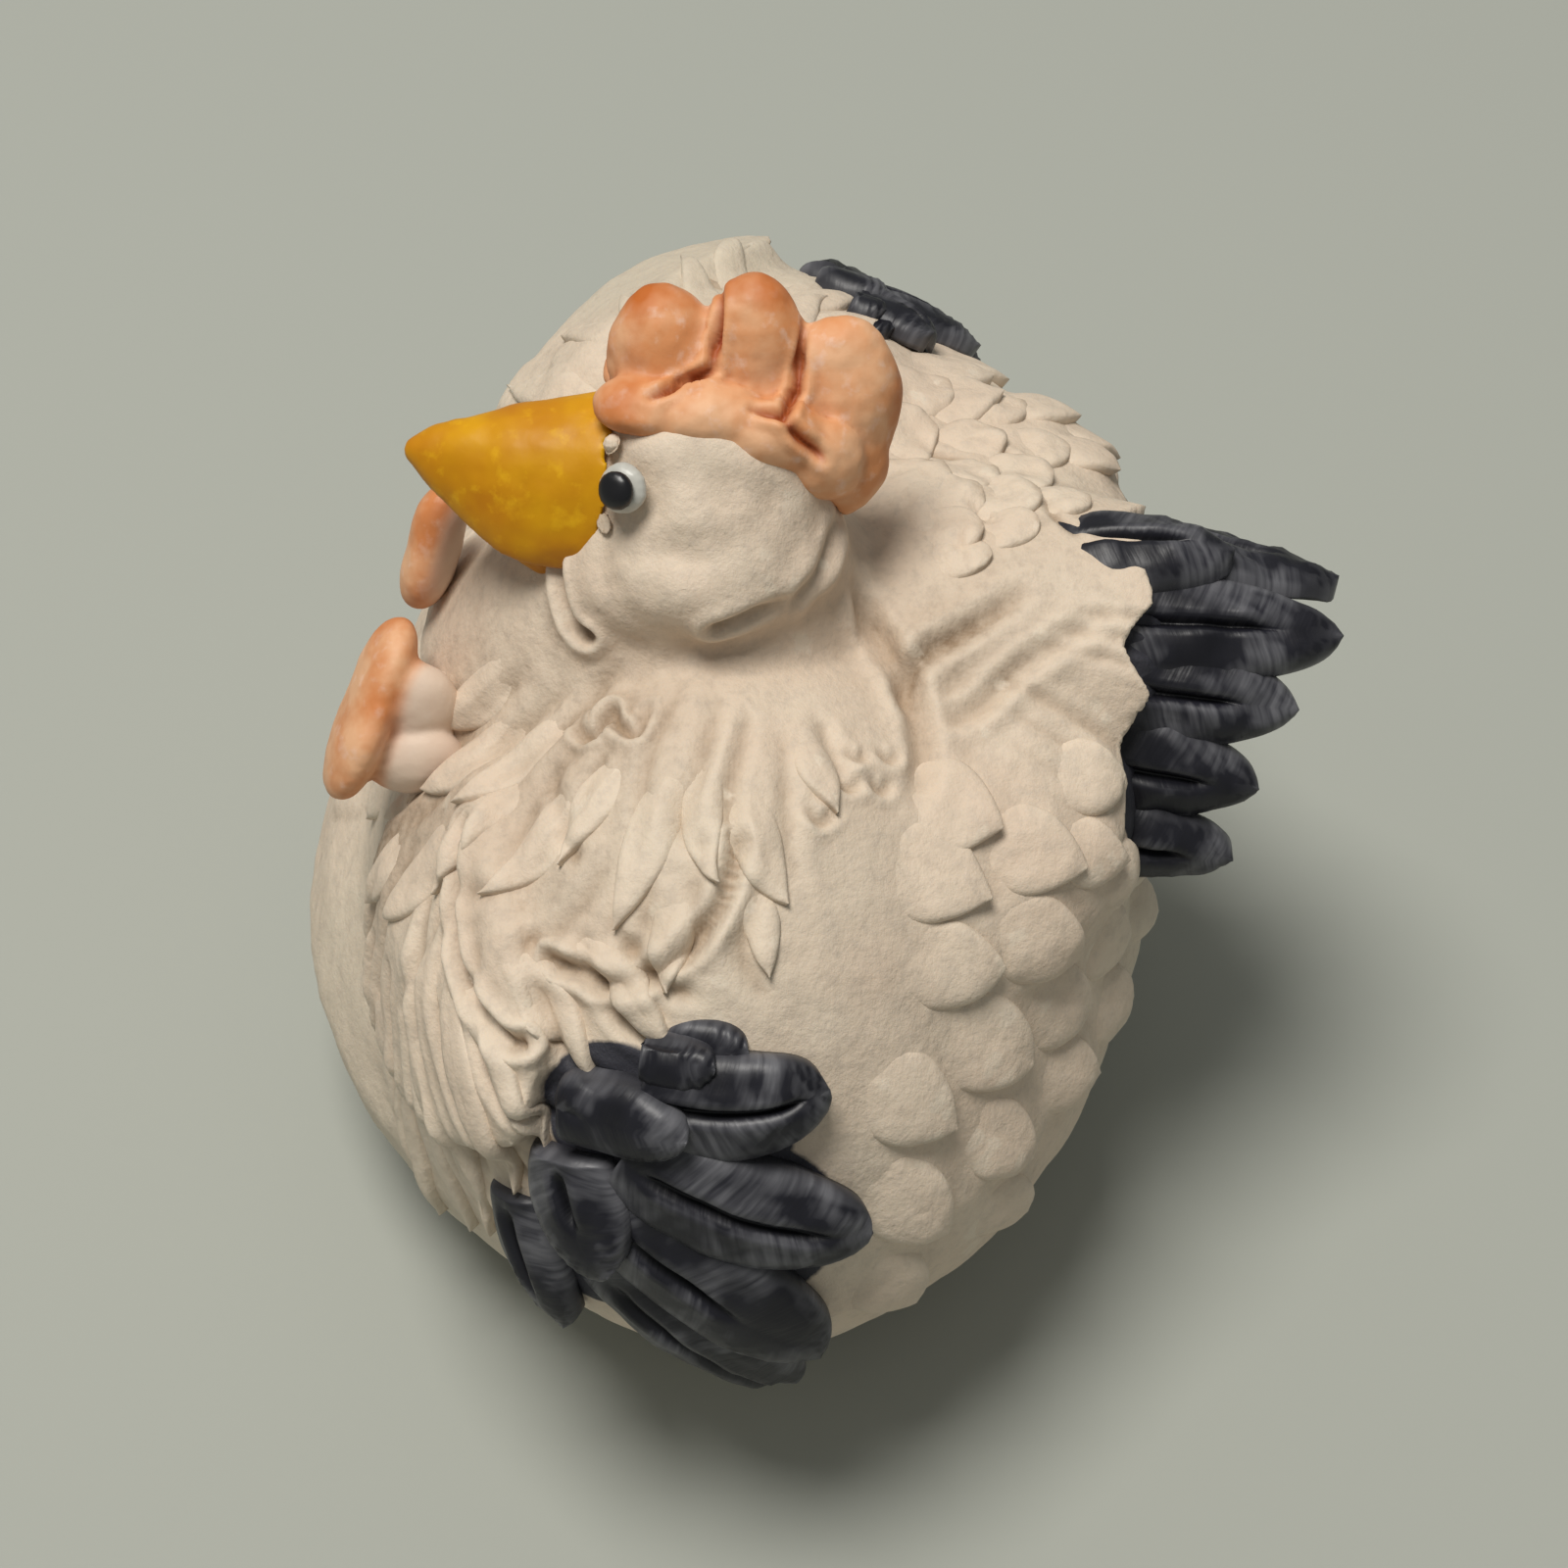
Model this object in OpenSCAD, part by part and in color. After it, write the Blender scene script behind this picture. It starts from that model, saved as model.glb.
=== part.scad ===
// A fat sitting hen, modelled by hand in polymer clay and painted.
// Millimetres. The hen faces -Y, its left wing is on +X, and +Z is up.
// The origin is the middle of the flat base that it rests on.

/* [Body] */
// Width of the body across both folded wings
body_w = 68; // [60:1:76]
// Length of the body from breast to rump
body_l = 46; // [40:1:52]
// Height of the shoulders above the base
body_h = 41; // [37:1:46]
// Width of the flat resting face
base_w = 38; // [32:1:44]
// Depth of the flat resting face, front to back
base_l = 27; // [22:1:32]

/* [Head] */
// Width of the head across the cheeks
head_w = 13.5; // [11:0.5:16]
// Height of the eye line above the shoulders
head_rise = 5; // [3:0.5:8]
// Lean of the head towards the hen's right side, degrees
head_lean = 26; // [10:1:35]
// Length of the beak in front of the face
beak_l = 10.4; // [8:0.2:14]
// Height of the beak where it meets the face
beak_h = 8.6; // [7:0.2:10]
// Diameter of the eye bead
eye_d = 2.9; // [2.2:0.1:3.6]
// Diameter of the pupil
pupil_d = 1.7; // [1.2:0.1:2.2]
// Diameter of the small clay balls round the beak
bead_d = 1.5; // [1:0.1:2]

/* [Comb and wattles] */
// Height of the middle comb lobe above the eye line
comb_h = 10.8; // [8:0.2:14]
// Thickness of the comb, side to side
comb_t = 4.6; // [3.5:0.1:6]
// Height of the left wattle
wattle_h = 10; // [7:0.5:12]
// Thickness of a wattle
wattle_t = 2.4; // [1.6:0.1:3.2]

/* [Wings and tail] */
// Thickness of the white wing pads
wing_t = 1.6; // [1.2:0.2:2.4]
// Thickness of a black wing feather
feather_t = 1.5; // [1:0.1:2.2]
// How far the longest tail feather reaches behind the rump
tail_l = 9; // [6:0.5:12]
// Thickness of a tail feather
tail_t = 2; // [1.4:0.1:2.6]
// Height of the small pressed-on body feathers
scale_t = 0.7; // [0.4:0.1:1.2]

/* [Hidden] */
SIDES = ["left", "right"];
WING_COUNT = 9;
TAIL_COUNT = 4;

CLAY = [0.84, 0.80, 0.74];
BLACK = [0.20, 0.20, 0.23];
YELLOW = [0.87, 0.62, 0.08];
SALMON = [0.87, 0.60, 0.46];

// ---- The body's surface: how far it lies from its heart in each direction ----

heart = [0, 0, body_h * 0.46];
half_w = body_w / 2;
half_l = body_l / 2;
// Each mass is [centre, radii]; together they swell into one smooth body.
masses = [
    [[0, -0.8, body_h * 0.46], [half_w, half_l - 1, body_h * 0.46]],
    [[0, -4.2, body_h * 0.27], [half_w * 0.8, half_l + 0.5, body_h * 0.3]],
    [[half_w * 0.39, -2, body_h * 0.56], [half_w * 0.56, half_l * 0.67, body_h * 0.44]],
    [[-half_w * 0.39, -2, body_h * 0.56], [half_w * 0.56, half_l * 0.67, body_h * 0.44]],
    [[0, half_l * 0.46, body_h * 0.74], [half_w * 0.6, half_l * 0.48, body_h * 0.21]],
    [[0, -1, 8], [base_w * 0.69, base_l * 0.69, 11]]
];
blend = 18;

// Distance from the heart along direction d to the far side of one mass, 0 if it misses.
function reach(d, mass) =
    let (r = mass[1],
         o = [for (k = [0:2]) (heart[k] - mass[0][k]) / r[k]],
         v = [for (k = [0:2]) d[k] / r[k]],
         b = o * v,
         q = b * b - (v * v) * (o * o - 1))
    q <= 0 ? 0 : max(0, (sqrt(q) - b) / (v * v));
function radius(d) = pow(sum([for (m = masses) pow(reach(d, m), blend)]), 1 / blend);
function sum(v, i = 0) = i < len(v) ? v[i] + sum(v, i + 1) : 0;
function unit(v) = v / norm(v);
// A direction from the heart: turn 0 is the hen's left, 90 its tail; rise is above level.
function heading(turn, rise) = [cos(turn) * cos(rise), sin(turn) * cos(rise), sin(rise)];
function on_body(d, lift) = heart + d * (radius(d) + lift);

// A closed skin over rings of equally many points, with flat ends.
module skin(rings) {
    n = len(rings);
    m = len(rings[0]);
    sides = [for (i = [0:n - 2], j = [0:m - 1])
        [i * m + j, i * m + (j + 1) % m, (i + 1) * m + (j + 1) % m, (i + 1) * m + j]];
    quads = [for (q = sides) each [[q[0], q[1], q[2]], [q[0], q[2], q[3]]]];
    first = [for (j = [m - 1:-1:0]) j];
    last = [for (j = [0:m - 1]) (n - 1) * m + j];
    polyhedron([for (ring = rings) each ring], concat(quads, [first, last]), convexity = 6);
}

// Free-form clay pieces are kept as one faceted skin each.
module moulded() resize([0, 0, 0]) children();

module body_solid(turns = 48, rises = 26)
    skin([for (i = [0:rises]) let (rise = 88 - 176 * i / rises)
        [for (j = [0:turns - 1]) on_body(heading(360 * j / turns, rise), 0)]]);

module flat_floor() translate([-body_w, -body_w, -body_h]) cube([2 * body_w, 2 * body_w, body_h]);

module torso() color(CLAY) difference() {
    body_solid();
    flat_floor();
}

// ---- Leaves: feathers, wing pads and petals that follow the body ----

// Outline of a leaf at s from 0 at the root to 1 at the tip, as a share of its half width.
function leaf_width(s, blunt) = 0.08 + 0.92 * pow(sin(180 * pow(s * 0.94 + 0.03, blunt)), 0.6);
LEAF_STEPS = 8;
// Over a leaf's top, edge to edge: [sideways share, height share].
LEAF_TOP = [[-1, 0.3], [-0.84, 0.8], [0, 1.1], [0.84, 0.8], [1, 0.3]];
// How far a leaf's underside reaches into the body before it is cut back to the surface
LEAF_SINK = 1;

// from and to are [turn, rise, lift]; a leaf is half_width wide and thick high above the body.
// extra makes it taller, to cut away all of another leaf that it covers.
module leaf(from, to, half_width, thick, blunt = 0.8, extra = 0, steps = LEAF_STEPS) {
    a = heading(from[0], from[1]);
    b = heading(to[0], to[1]);
    skin([for (i = [0:steps])
        let (s = i / steps,
             d = unit(a + (b - a) * s),
             side = unit(cross(d, b - a)),
             lift = from[2] + (to[2] - from[2]) * s + extra,
             w = half_width * leaf_width(s, blunt) / radius(d))
        [each [for (p = LEAF_TOP) on_body(unit(d + side * w * p[0]), lift + thick * p[1])],
         each [for (p = [1, -1]) on_body(unit(d + side * w * p), -LEAF_SINK)]]]);
}

// ---- Neck and head ----

head_at = [0.5, -4, body_h + head_rise];
head_half = head_w / 2;
module on_head() translate(head_at) rotate([0, -head_lean, 0]) children();
module blob(centre, radii) translate(centre) scale(radii) sphere(1, $fn = 28);

module neck_solid() {
    hull() {
        blob([1, -6, body_h * 0.78], [13, 13.5, body_h * 0.16]);
        blob([1.5, -4.5, body_h * 0.96], [8, 9.5, 4]);
    }
    hull() {
        blob([1.5, -5, body_h * 0.97], [7, 9, 3]);
        on_head() blob([0, 0.6, -4.2], [head_half, 7.2, 4]);
    }
}
module head_solid() on_head() hull() {
    blob([0, 0.3, 0.2], [head_half - 1, 6.2, 4.6]);
    blob([0, 0.8, -4], [head_half, 7, 3.6]);
}
module neck_and_head() color(CLAY) moulded() difference() {
    union() {
        neck_solid();
        head_solid();
    }
    body_solid();
}

// ---- Comb: a saddle over the crown and three round lobes ----

comb_half = comb_t / 2;
module comb_disc(y, z, r, h)
    translate([0, y, z]) scale([comb_half, r, h]) sphere(1, $fn = 24);
module saddle_solid() scale([1.12, 1, 1]) hull() {
    comb_disc(-2.4, 2.9, 2.6, 2.2);
    comb_disc(2.6, 3.6, 3, 2.4);
    comb_disc(6.8, 1, 2.8, 3.4);
}
// Each lobe is [along the head, height of its middle, half length, half height].
LOBE_FRONT = [-1.9, 5.6, 2.9, 3.7];
LOBE_MIDDLE = [2.6, comb_h - 4.7, 2.6, 3.9];
LOBE_REAR = [7, 3.7, 3.1, 4.4];
module lobe_solid(lobe) comb_disc(lobe[0], lobe[1], lobe[2], lobe[3]);

module comb_saddle() color(SALMON) moulded() difference() {
    on_head() saddle_solid();
    head_solid();
    neck_solid();
    body_solid();
}
module comb_lobe(lobe, before) color(SALMON) moulded() difference() {
    on_head() difference() {
        lobe_solid(lobe);
        saddle_solid();
        for (other = before) lobe_solid(other);
    }
    head_solid();
    neck_solid();
    body_solid();
}
module comb_lobe_front() comb_lobe(LOBE_FRONT, []);
module comb_lobe_middle() comb_lobe(LOBE_MIDDLE, [LOBE_FRONT]);
module comb_lobe_rear() comb_lobe(LOBE_REAR, [LOBE_MIDDLE]);

// ---- Beak: two halves that meet along the mouth line ----

face_y = -4.6;
beak_half = beak_h / 2;
mouth_drop = 1.3;
mouth_slope = 14;
module beak_solid() hull() {
    translate([0, face_y + 0.6, -0.6]) scale([beak_half * 0.94, 1.6, beak_half]) sphere(1, $fn = 28);
    translate([0, face_y - beak_l * 0.45, -0.5]) scale([beak_half * 0.72, 1.5, beak_half * 0.74]) sphere(1, $fn = 24);
    translate([0, face_y - beak_l * 0.8, -0.1]) scale([beak_half * 0.36, 1.3, beak_half * 0.4]) sphere(1, $fn = 20);
    translate([0, face_y - beak_l + 0.7, 0.2]) sphere(0.7, $fn = 16);
}
// The side below the mouth line, which slopes down towards the cheek.
module below_mouth() translate([-beak_h, face_y - beak_l + 2, -mouth_drop]) rotate([-mouth_slope, 0, 0])
    translate([0, -beak_l, -beak_h * 2]) cube([beak_h * 2, beak_l * 3, beak_h * 2]);
module upper_beak() color(YELLOW) moulded() difference() {
    on_head() difference() {
        beak_solid();
        below_mouth();
    }
    head_solid();
    neck_solid();
    body_solid();
}
module lower_beak() color(YELLOW) moulded() difference() {
    on_head() intersection() {
        translate([0, 1, -0.3]) scale([0.9, 0.92, 0.95]) beak_solid();
        below_mouth();
    }
    head_solid();
    neck_solid();
    body_solid();
}

// ---- Eyes and the row of small balls round the beak ----

eye_at = [head_half - 1.4, -3.4, 0.5];
module eye_solid(side) translate([side * eye_at[0], eye_at[1], eye_at[2]])
    rotate([0, side * 80, -side * 22]) scale([1, 1, 0.55]) sphere(d = eye_d, $fn = 18);
module pupil_solid(side) translate([side * (eye_at[0] + eye_d * 0.26), eye_at[1] - eye_d * 0.1, eye_at[2] + 0.1])
    rotate([0, side * 80, -side * 22]) scale([1, 1, 0.4]) sphere(d = pupil_d, $fn = 14);
module eye(side) color("white") moulded() difference() {
    on_head() eye_solid(side);
    on_head() pupil_solid(side);
    head_solid();
}
module pupil(side) color([0.03, 0.03, 0.04]) moulded() difference() {
    on_head() pupil_solid(side);
    head_solid();
}
module beads(side) color(CLAY) moulded() difference() {
    on_head() for (i = [0:4]) let (a = 62 - 27 * i)
        translate([side * beak_half * cos(a), face_y + 0.5, -0.4 + beak_half * 1.02 * sin(a)])
            sphere(d = bead_d, $fn = 10);
    on_head() {
        beak_solid();
        eye_solid(side);
        saddle_solid();
    }
    head_solid();
    neck_solid();
    body_solid();
}

// ---- Wattles: two oval pads under the beak ----

module wattle_pad(at, tilt, h, w) translate(at) rotate(tilt) hull() {
    translate([0, 0, h * 0.2]) scale([w * 0.8, wattle_t / 2, h * 0.3]) sphere(1, $fn = 24);
    translate([0, 0, -h * 0.16]) scale([w, wattle_t / 2, h * 0.34]) sphere(1, $fn = 24);
}
LEFT_WATTLE = [7.4, -20.9, body_h * 0.83];
RIGHT_WATTLE = [-1.2, -18.4, body_h * 0.915];
module left_wattle_solid() wattle_pad(LEFT_WATTLE, [-22, -38, 14], wattle_h, 3.2);
module right_wattle_solid() wattle_pad(RIGHT_WATTLE, [-6, -20, -6], wattle_h * 0.72, 2.5);
module wattle_cut() {
    on_head() beak_solid();
    neck_solid();
    body_solid();
}
module left_wattle() color(SALMON) moulded() difference() {
    left_wattle_solid();
    wattle_cut();
}
module right_wattle() color(SALMON) moulded() difference() {
    right_wattle_solid();
    wattle_cut();
}

// ---- Wings: a white pad with black feathers fanned from under its edge ----

// The right wing is carried higher and further back than the left one.
right_wing_turn = 17;
right_wing_rise = 7;
function wing_spot(side, spot) = side > 0 ? spot
    : [180 - spot[0] - right_wing_turn, spot[1] + right_wing_rise, spot[2]];

// How much taller a pad is made to cut a feather's root square
COVER = 5;
module wing_pad(side, extra = 0)
    leaf(wing_spot(side, [-62, 20, 0]), wing_spot(side, [-20, 20, 0.6]), 10, wing_t, 0.66, extra);

// The feathers fan out from one point on the shoulder, in a short row and a long row.
fan_centre = [-33, 24];
function fan_spot(reach, angle, lift) =
    [fan_centre[0] + reach * cos(angle), fan_centre[1] - reach * sin(angle), lift];
COVERT_ANGLES = [-4, 12, 28, 44];
LONG_ANGLES = [-9, 5, 20, 34, 48];
COVERTS = [for (a = COVERT_ANGLES) [fan_spot(11, a, 0.8), fan_spot(24.5, a, 1.2), 1.6]];
LONG_FEATHERS = [for (a = LONG_ANGLES) [fan_spot(25, a, 0.3), fan_spot(42.5, a, 1.1), 2.35]];
WING_FEATHERS = concat(COVERTS, LONG_FEATHERS);
module wing_feather_solid(side, i) let (f = WING_FEATHERS[i])
    leaf(wing_spot(side, f[0]), wing_spot(side, f[1]), f[2], feather_t, 1.4);

module wing(side) color(CLAY) moulded() difference() {
    wing_pad(side);
    neck_solid();
    body_solid();
}
module wing_feather(side, i) color(BLACK) moulded() difference() {
    wing_feather_solid(side, i);
    wing_pad(side, COVER);
    body_solid();
}

// ---- Tail: a white root and a tent of black feathers ----

rump = [0, half_l - 4.5, body_h * 0.84];
tail_end = half_l + tail_l - 2.5;
module tail_root_solid() hull() {
    blob([0, half_l * 0.36, body_h * 0.86], [10, 7, body_h * 0.13]);
    blob([0.6, rump[1], rump[2]], [8, 4, body_h * 0.15]);
}
module tail_root() color(CLAY) moulded() difference() {
    tail_root_solid();
    neck_solid();
    body_solid();
}

// A tail feather is a flat blade from a to b, rolled about its own length.
TAIL_SECTION = [[1, 0], [0.8, 0.7], [0, 1.1], [-0.8, 0.7], [-1, 0], [-0.7, -0.6], [0, -0.8], [0.7, -0.6]];
module blade(a, b, half_width, roll)
    skin([for (i = [0:LEAF_STEPS])
        let (s = i / LEAF_STEPS,
             along = unit(b - a),
             level = unit(cross(along, [0, 0, 1])),
             up = cross(level, along),
             side = level * cos(roll) + up * sin(roll),
             top = cross(side, along),
             w = half_width * leaf_width(s, 1.15))
        [for (p = TAIL_SECTION)
            a + (b - a) * s + side * w * p[0] + top * (tail_t / 2) * p[1] * (1.1 - 0.5 * s)]]);

// Each side feather is [root, tip, half width, roll], the topmost first.
TAIL_BLADES = [
    [[2.4, rump[1] + 1, rump[2] + 2.6], [1.8, tail_end, rump[2] + 1.2], 2.9, 30],
    [[4.8, rump[1] + 0.6, rump[2] - 0.2], [4.6, tail_end - 2.6, rump[2] - 0.8], 2.9, 50],
    [[6.8, rump[1], rump[2] - 3.2], [7.4, tail_end - 4.4, rump[2] - 3.4], 2.7, 62],
    [[8.4, rump[1] - 1.4, rump[2] - 6.4], [10, tail_end - 6.6, rump[2] - 6.4], 2.3, 74]
];
module centre_blade() blade([-0.4, rump[1], rump[2] + 4.4], [-1.6, tail_end - 4, rump[2] + 4], 2.8, 0);
module mirrored_if(right) if (right) mirror([1, 0, 0]) children(); else children();
module side_blade(side, i) let (b = TAIL_BLADES[i])
    mirrored_if(side < 0) blade(b[0], b[1], b[2], -b[3]);
module tail_feather_centre() color(BLACK) moulded() difference() {
    centre_blade();
    tail_root_solid();
    body_solid();
}
module tail_feather(side, i) color(BLACK) moulded() difference() {
    side_blade(side, i);
    if (i > 0) side_blade(side, i - 1);
    side_blade(-side, i);
    centre_blade();
    tail_root_solid();
    body_solid();
}

// ---- Small pressed-on feathers, in rows ----

// Petals start at each [turn, rise] in spots and run on by step.
module petals(spots, step, half_width) difference() {
    for (p = spots) leaf([p[0], p[1], 0], [p[0] + step[0], p[1] + step[1], 0.2], half_width, scale_t, 0.7,
        steps = 5);
    body_solid();
}
FLANK_ROWS = [-7.5, 2.5, 12.5, 22.5, 32.5];
module flank_scales(side) color(CLAY) moulded() mirrored_if(side < 0)
    petals([for (row = [0:len(FLANK_ROWS) - 1], k = [0:2])
        [18.5 + 11.5 * k + (row % 2) * 5.5, FLANK_ROWS[row]]], [7, -2], 1.9);

BACK_PETALS = [[124, 46], [134, 48], [144, 50], [129, 56], [141, 60]];
module back_scales() color(CLAY) moulded() for (right = [false, true]) mirrored_if(right)
    petals(BACK_PETALS, [-6, -5], 1.7);

TUFTS = [[-40, 18], [-52, 22], [-64, 18], [-76, 22]];
module breast_tufts() color(CLAY) moulded() for (right = [false, true]) mirrored_if(right)
    petals(TUFTS, [1, -13], 2);

// ---- What is drawn ----

torso();
neck_and_head();
wing(1);  // left_wing
wing(-1);  // right_wing
tail_root();
comb_saddle();
comb_lobe_front();
comb_lobe_middle();
comb_lobe_rear();
upper_beak();
lower_beak();
eye(1);  // left_eye
eye(-1);  // right_eye
pupil(1);  // left_pupil
pupil(-1);  // right_pupil
beads(1);  // left_beak_beads
beads(-1);  // right_beak_beads
left_wattle();
right_wattle();
back_scales();
flank_scales(1);  // left_flank_scales
flank_scales(-1);  // right_flank_scales
breast_tufts();
tail_feather_centre();
for (side = [1, -1]) {
    name = side > 0 ? "left" : "right";
    for (i = [1:WING_COUNT])
        wing_feather(side, i - 1);
    for (i = [1:TAIL_COUNT])
        tail_feather(side, i - 1);
}
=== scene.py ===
# %% [markdown]
# # A fat clay hen
# The hen was pressed together from lumps of clay: a round body, a head, two wing pads, a comb, a beak and
# many leaf-shaped feathers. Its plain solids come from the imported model. This script gives each lump its
# real skin: soft dents, knife strokes, petals with a sharp lower edge, and paint.

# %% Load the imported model
import math
import random
import bmesh
import bpy
import numpy as np
from mathutils import Matrix, Vector, noise
from mathutils.bvhtree import BVHTree
from mathutils.kdtree import KDTree


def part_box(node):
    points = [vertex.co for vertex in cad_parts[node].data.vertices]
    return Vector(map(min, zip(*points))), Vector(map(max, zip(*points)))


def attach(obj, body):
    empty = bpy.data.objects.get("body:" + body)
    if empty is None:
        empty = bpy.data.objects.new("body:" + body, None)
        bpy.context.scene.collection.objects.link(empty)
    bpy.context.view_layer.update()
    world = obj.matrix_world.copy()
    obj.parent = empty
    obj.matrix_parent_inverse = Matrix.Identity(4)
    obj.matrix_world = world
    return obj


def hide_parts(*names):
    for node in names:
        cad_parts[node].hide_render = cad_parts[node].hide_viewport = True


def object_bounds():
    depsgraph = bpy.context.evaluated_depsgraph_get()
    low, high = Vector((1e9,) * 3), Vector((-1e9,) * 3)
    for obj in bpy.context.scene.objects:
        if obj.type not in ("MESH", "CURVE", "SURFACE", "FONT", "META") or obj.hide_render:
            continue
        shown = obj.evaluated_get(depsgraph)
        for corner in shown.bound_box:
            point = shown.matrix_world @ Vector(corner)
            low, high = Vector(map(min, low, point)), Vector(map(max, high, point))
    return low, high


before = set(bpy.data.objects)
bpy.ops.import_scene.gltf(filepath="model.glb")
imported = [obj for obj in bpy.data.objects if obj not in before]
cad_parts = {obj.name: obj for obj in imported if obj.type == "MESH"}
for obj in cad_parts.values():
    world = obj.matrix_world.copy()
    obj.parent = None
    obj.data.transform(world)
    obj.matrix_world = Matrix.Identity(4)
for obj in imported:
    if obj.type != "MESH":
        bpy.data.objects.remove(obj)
CAD_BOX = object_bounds()
MM = 0.001
LEFT, RIGHT = 1, -1
SIDE_NAMES = {LEFT: "left", RIGHT: "right"}
print("model box in mm:", [[round(v / MM, 1) for v in corner] for corner in CAD_BOX])

# %% [markdown]
# The camera comes first, because the shapes are made to be seen from it. It looks down on the hen's left
# side. The floor is plain, and two large soft lamps and a pale world give the matt clay its soft shading.

# %% Camera, floor and light
CAMERA_TURN, CAMERA_RISE = 3, 51  # degrees: from the hen's left, looking down
CAMERA_DISTANCE = 176 * MM
CAMERA_TARGET = Vector((1.6, 0.3, 22)) * MM


def direction(turn, rise):
    """Unit vector: turn 0 is the hen's left, 90 its tail; rise is above level, in degrees."""
    t, r = math.radians(turn), math.radians(rise)
    return Vector((math.cos(t) * math.cos(r), math.sin(t) * math.cos(r), math.sin(r)))


camera_data = bpy.data.cameras.new("camera")
camera_data.lens = 72
camera_data.sensor_width = 36
camera_data.clip_start = 0.01
camera = bpy.data.objects.new("camera", camera_data)
bpy.context.scene.collection.objects.link(camera)
camera.location = CAMERA_TARGET + direction(CAMERA_TURN, CAMERA_RISE) * CAMERA_DISTANCE
camera.rotation_euler = (CAMERA_TARGET - camera.location).to_track_quat("-Z", "Y").to_euler()
bpy.context.scene.camera = camera
bpy.context.scene.view_settings.view_transform = "Standard"


def soft_lamp(name, place, size, power, colour):
    """A round area lamp that points at the hen."""
    lamp = bpy.data.lights.new(name, "AREA")
    lamp.shape = "DISK"
    lamp.size = size
    lamp.energy = power
    lamp.color = colour
    obj = bpy.data.objects.new(name, lamp)
    bpy.context.scene.collection.objects.link(obj)
    obj.location = place
    obj.rotation_euler = (CAMERA_TARGET - obj.location).to_track_quat("-Z", "Y").to_euler()


soft_lamp("window", Vector((0.02, -0.12, 0.66)), 0.30, 3.9, (1.0, 0.97, 0.92))
soft_lamp("room", Vector((-0.30, -0.10, 0.50)), 0.5, 0.15, (0.97, 0.99, 1.0))

world = bpy.data.worlds.new("room")
world.use_nodes = True
bpy.context.scene.world = world
world.node_tree.nodes["Background"].inputs["Color"].default_value = (0.93, 0.96, 0.93, 1)
world.node_tree.nodes["Background"].inputs["Strength"].default_value = 0.235


# %% [markdown]
# Materials are small node trees. The class Paint keeps them short: each of its methods adds a node and
# hands back the socket to use next. Paint on this hen is never even: it is thin on the ridges, thick in
# the folds, and blotchy everywhere, so each paint is a mix of a few colours by noise. Noise reads Object
# coordinates, so no piece has to be unwrapped for it.

# %% Material helpers
class Paint:
    """A material with a Principled shader and short ways to add the patterns that drive it."""

    def __init__(self, name, roughness=0.7):
        self.material = bpy.data.materials.new(name)
        self.material.use_nodes = True
        self.tree = self.material.node_tree
        self.shader = self.tree.nodes["Principled BSDF"]
        self.shader.inputs["Roughness"].default_value = roughness
        self.place = self.add("ShaderNodeTexCoord").outputs["Object"]

    def add(self, kind, links=None, **settings):
        node = self.tree.nodes.new(kind)
        for key, value in settings.items():
            setattr(node, key, value)
        for key, source in (links or {}).items():
            socket = node.inputs[key]
            if isinstance(source, bpy.types.NodeSocket):
                self.tree.links.new(source, socket)
            else:
                socket.default_value = source
        return node

    def noise(self, per_mm, detail=4, rough=0.55, stretch=None, vector=None):
        vector = vector or self.place
        if stretch:
            vector = self.add("ShaderNodeMapping", {"Vector": vector, "Scale": stretch}).outputs["Vector"]
        return self.add("ShaderNodeTexNoise", {"Vector": vector, "Scale": per_mm / MM, "Detail": detail,
                                               "Roughness": rough}).outputs["Fac"]

    def attribute(self, name):
        return self.add("ShaderNodeAttribute", attribute_name=name).outputs["Fac"]

    def hollow(self, low=0.50, high=0.43):
        """1 in hollows and 0 on ridges."""
        return self.ramp(self.add("ShaderNodeNewGeometry").outputs["Pointiness"], low, high)

    def ramp(self, source, low, high):
        return self.add("ShaderNodeMapRange", {"Value": source, "From Min": low, "From Max": high},
                        clamp=True).outputs["Result"]

    def math(self, kind, a, b):
        return self.add("ShaderNodeMath", {0: a, 1: b}, operation=kind).outputs[0]

    def mix(self, factor, a, b):
        node = self.add("ShaderNodeMix", data_type="RGBA")
        for socket, value in ((node.inputs[0], factor), (node.inputs[6], a), (node.inputs[7], b)):
            if isinstance(value, bpy.types.NodeSocket):
                self.tree.links.new(value, socket)
            else:
                socket.default_value = value if isinstance(value, float) else (*value, 1)
        return node.outputs[2]

    def colour(self, socket):
        self.tree.links.new(socket, self.shader.inputs["Base Color"])

    def rough(self, socket):
        self.tree.links.new(socket, self.shader.inputs["Roughness"])

    def bump(self, height, distance_mm, strength=1.0):
        """Each bump is laid over the ones before it."""
        normal = self.shader.inputs["Normal"]
        links = {"Height": height, "Strength": strength, "Distance": distance_mm * MM}
        if normal.links:
            links["Normal"] = normal.links[0].from_socket
        self.tree.links.new(self.add("ShaderNodeBump", links).outputs["Normal"], normal)


# %% [markdown]
# The floor is one large square. It only catches the hen's shadow, so it stays plain; it isn't part of the
# hen.

# %% The floor
def make_floor():
    bm = bmesh.new()
    bmesh.ops.create_grid(bm, x_segments=1, y_segments=1, size=3)
    mesh = bpy.data.meshes.new("floor")
    bm.to_mesh(mesh)
    bm.free()
    floor = bpy.data.objects.new("floor", mesh)
    bpy.context.scene.collection.objects.link(floor)
    paint = Paint("pale_floor", 0.85)
    paint.shader.inputs["Base Color"].default_value = (0.385, 0.40, 0.36, 1)
    mesh.materials.append(paint.material)


make_floor()
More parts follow.
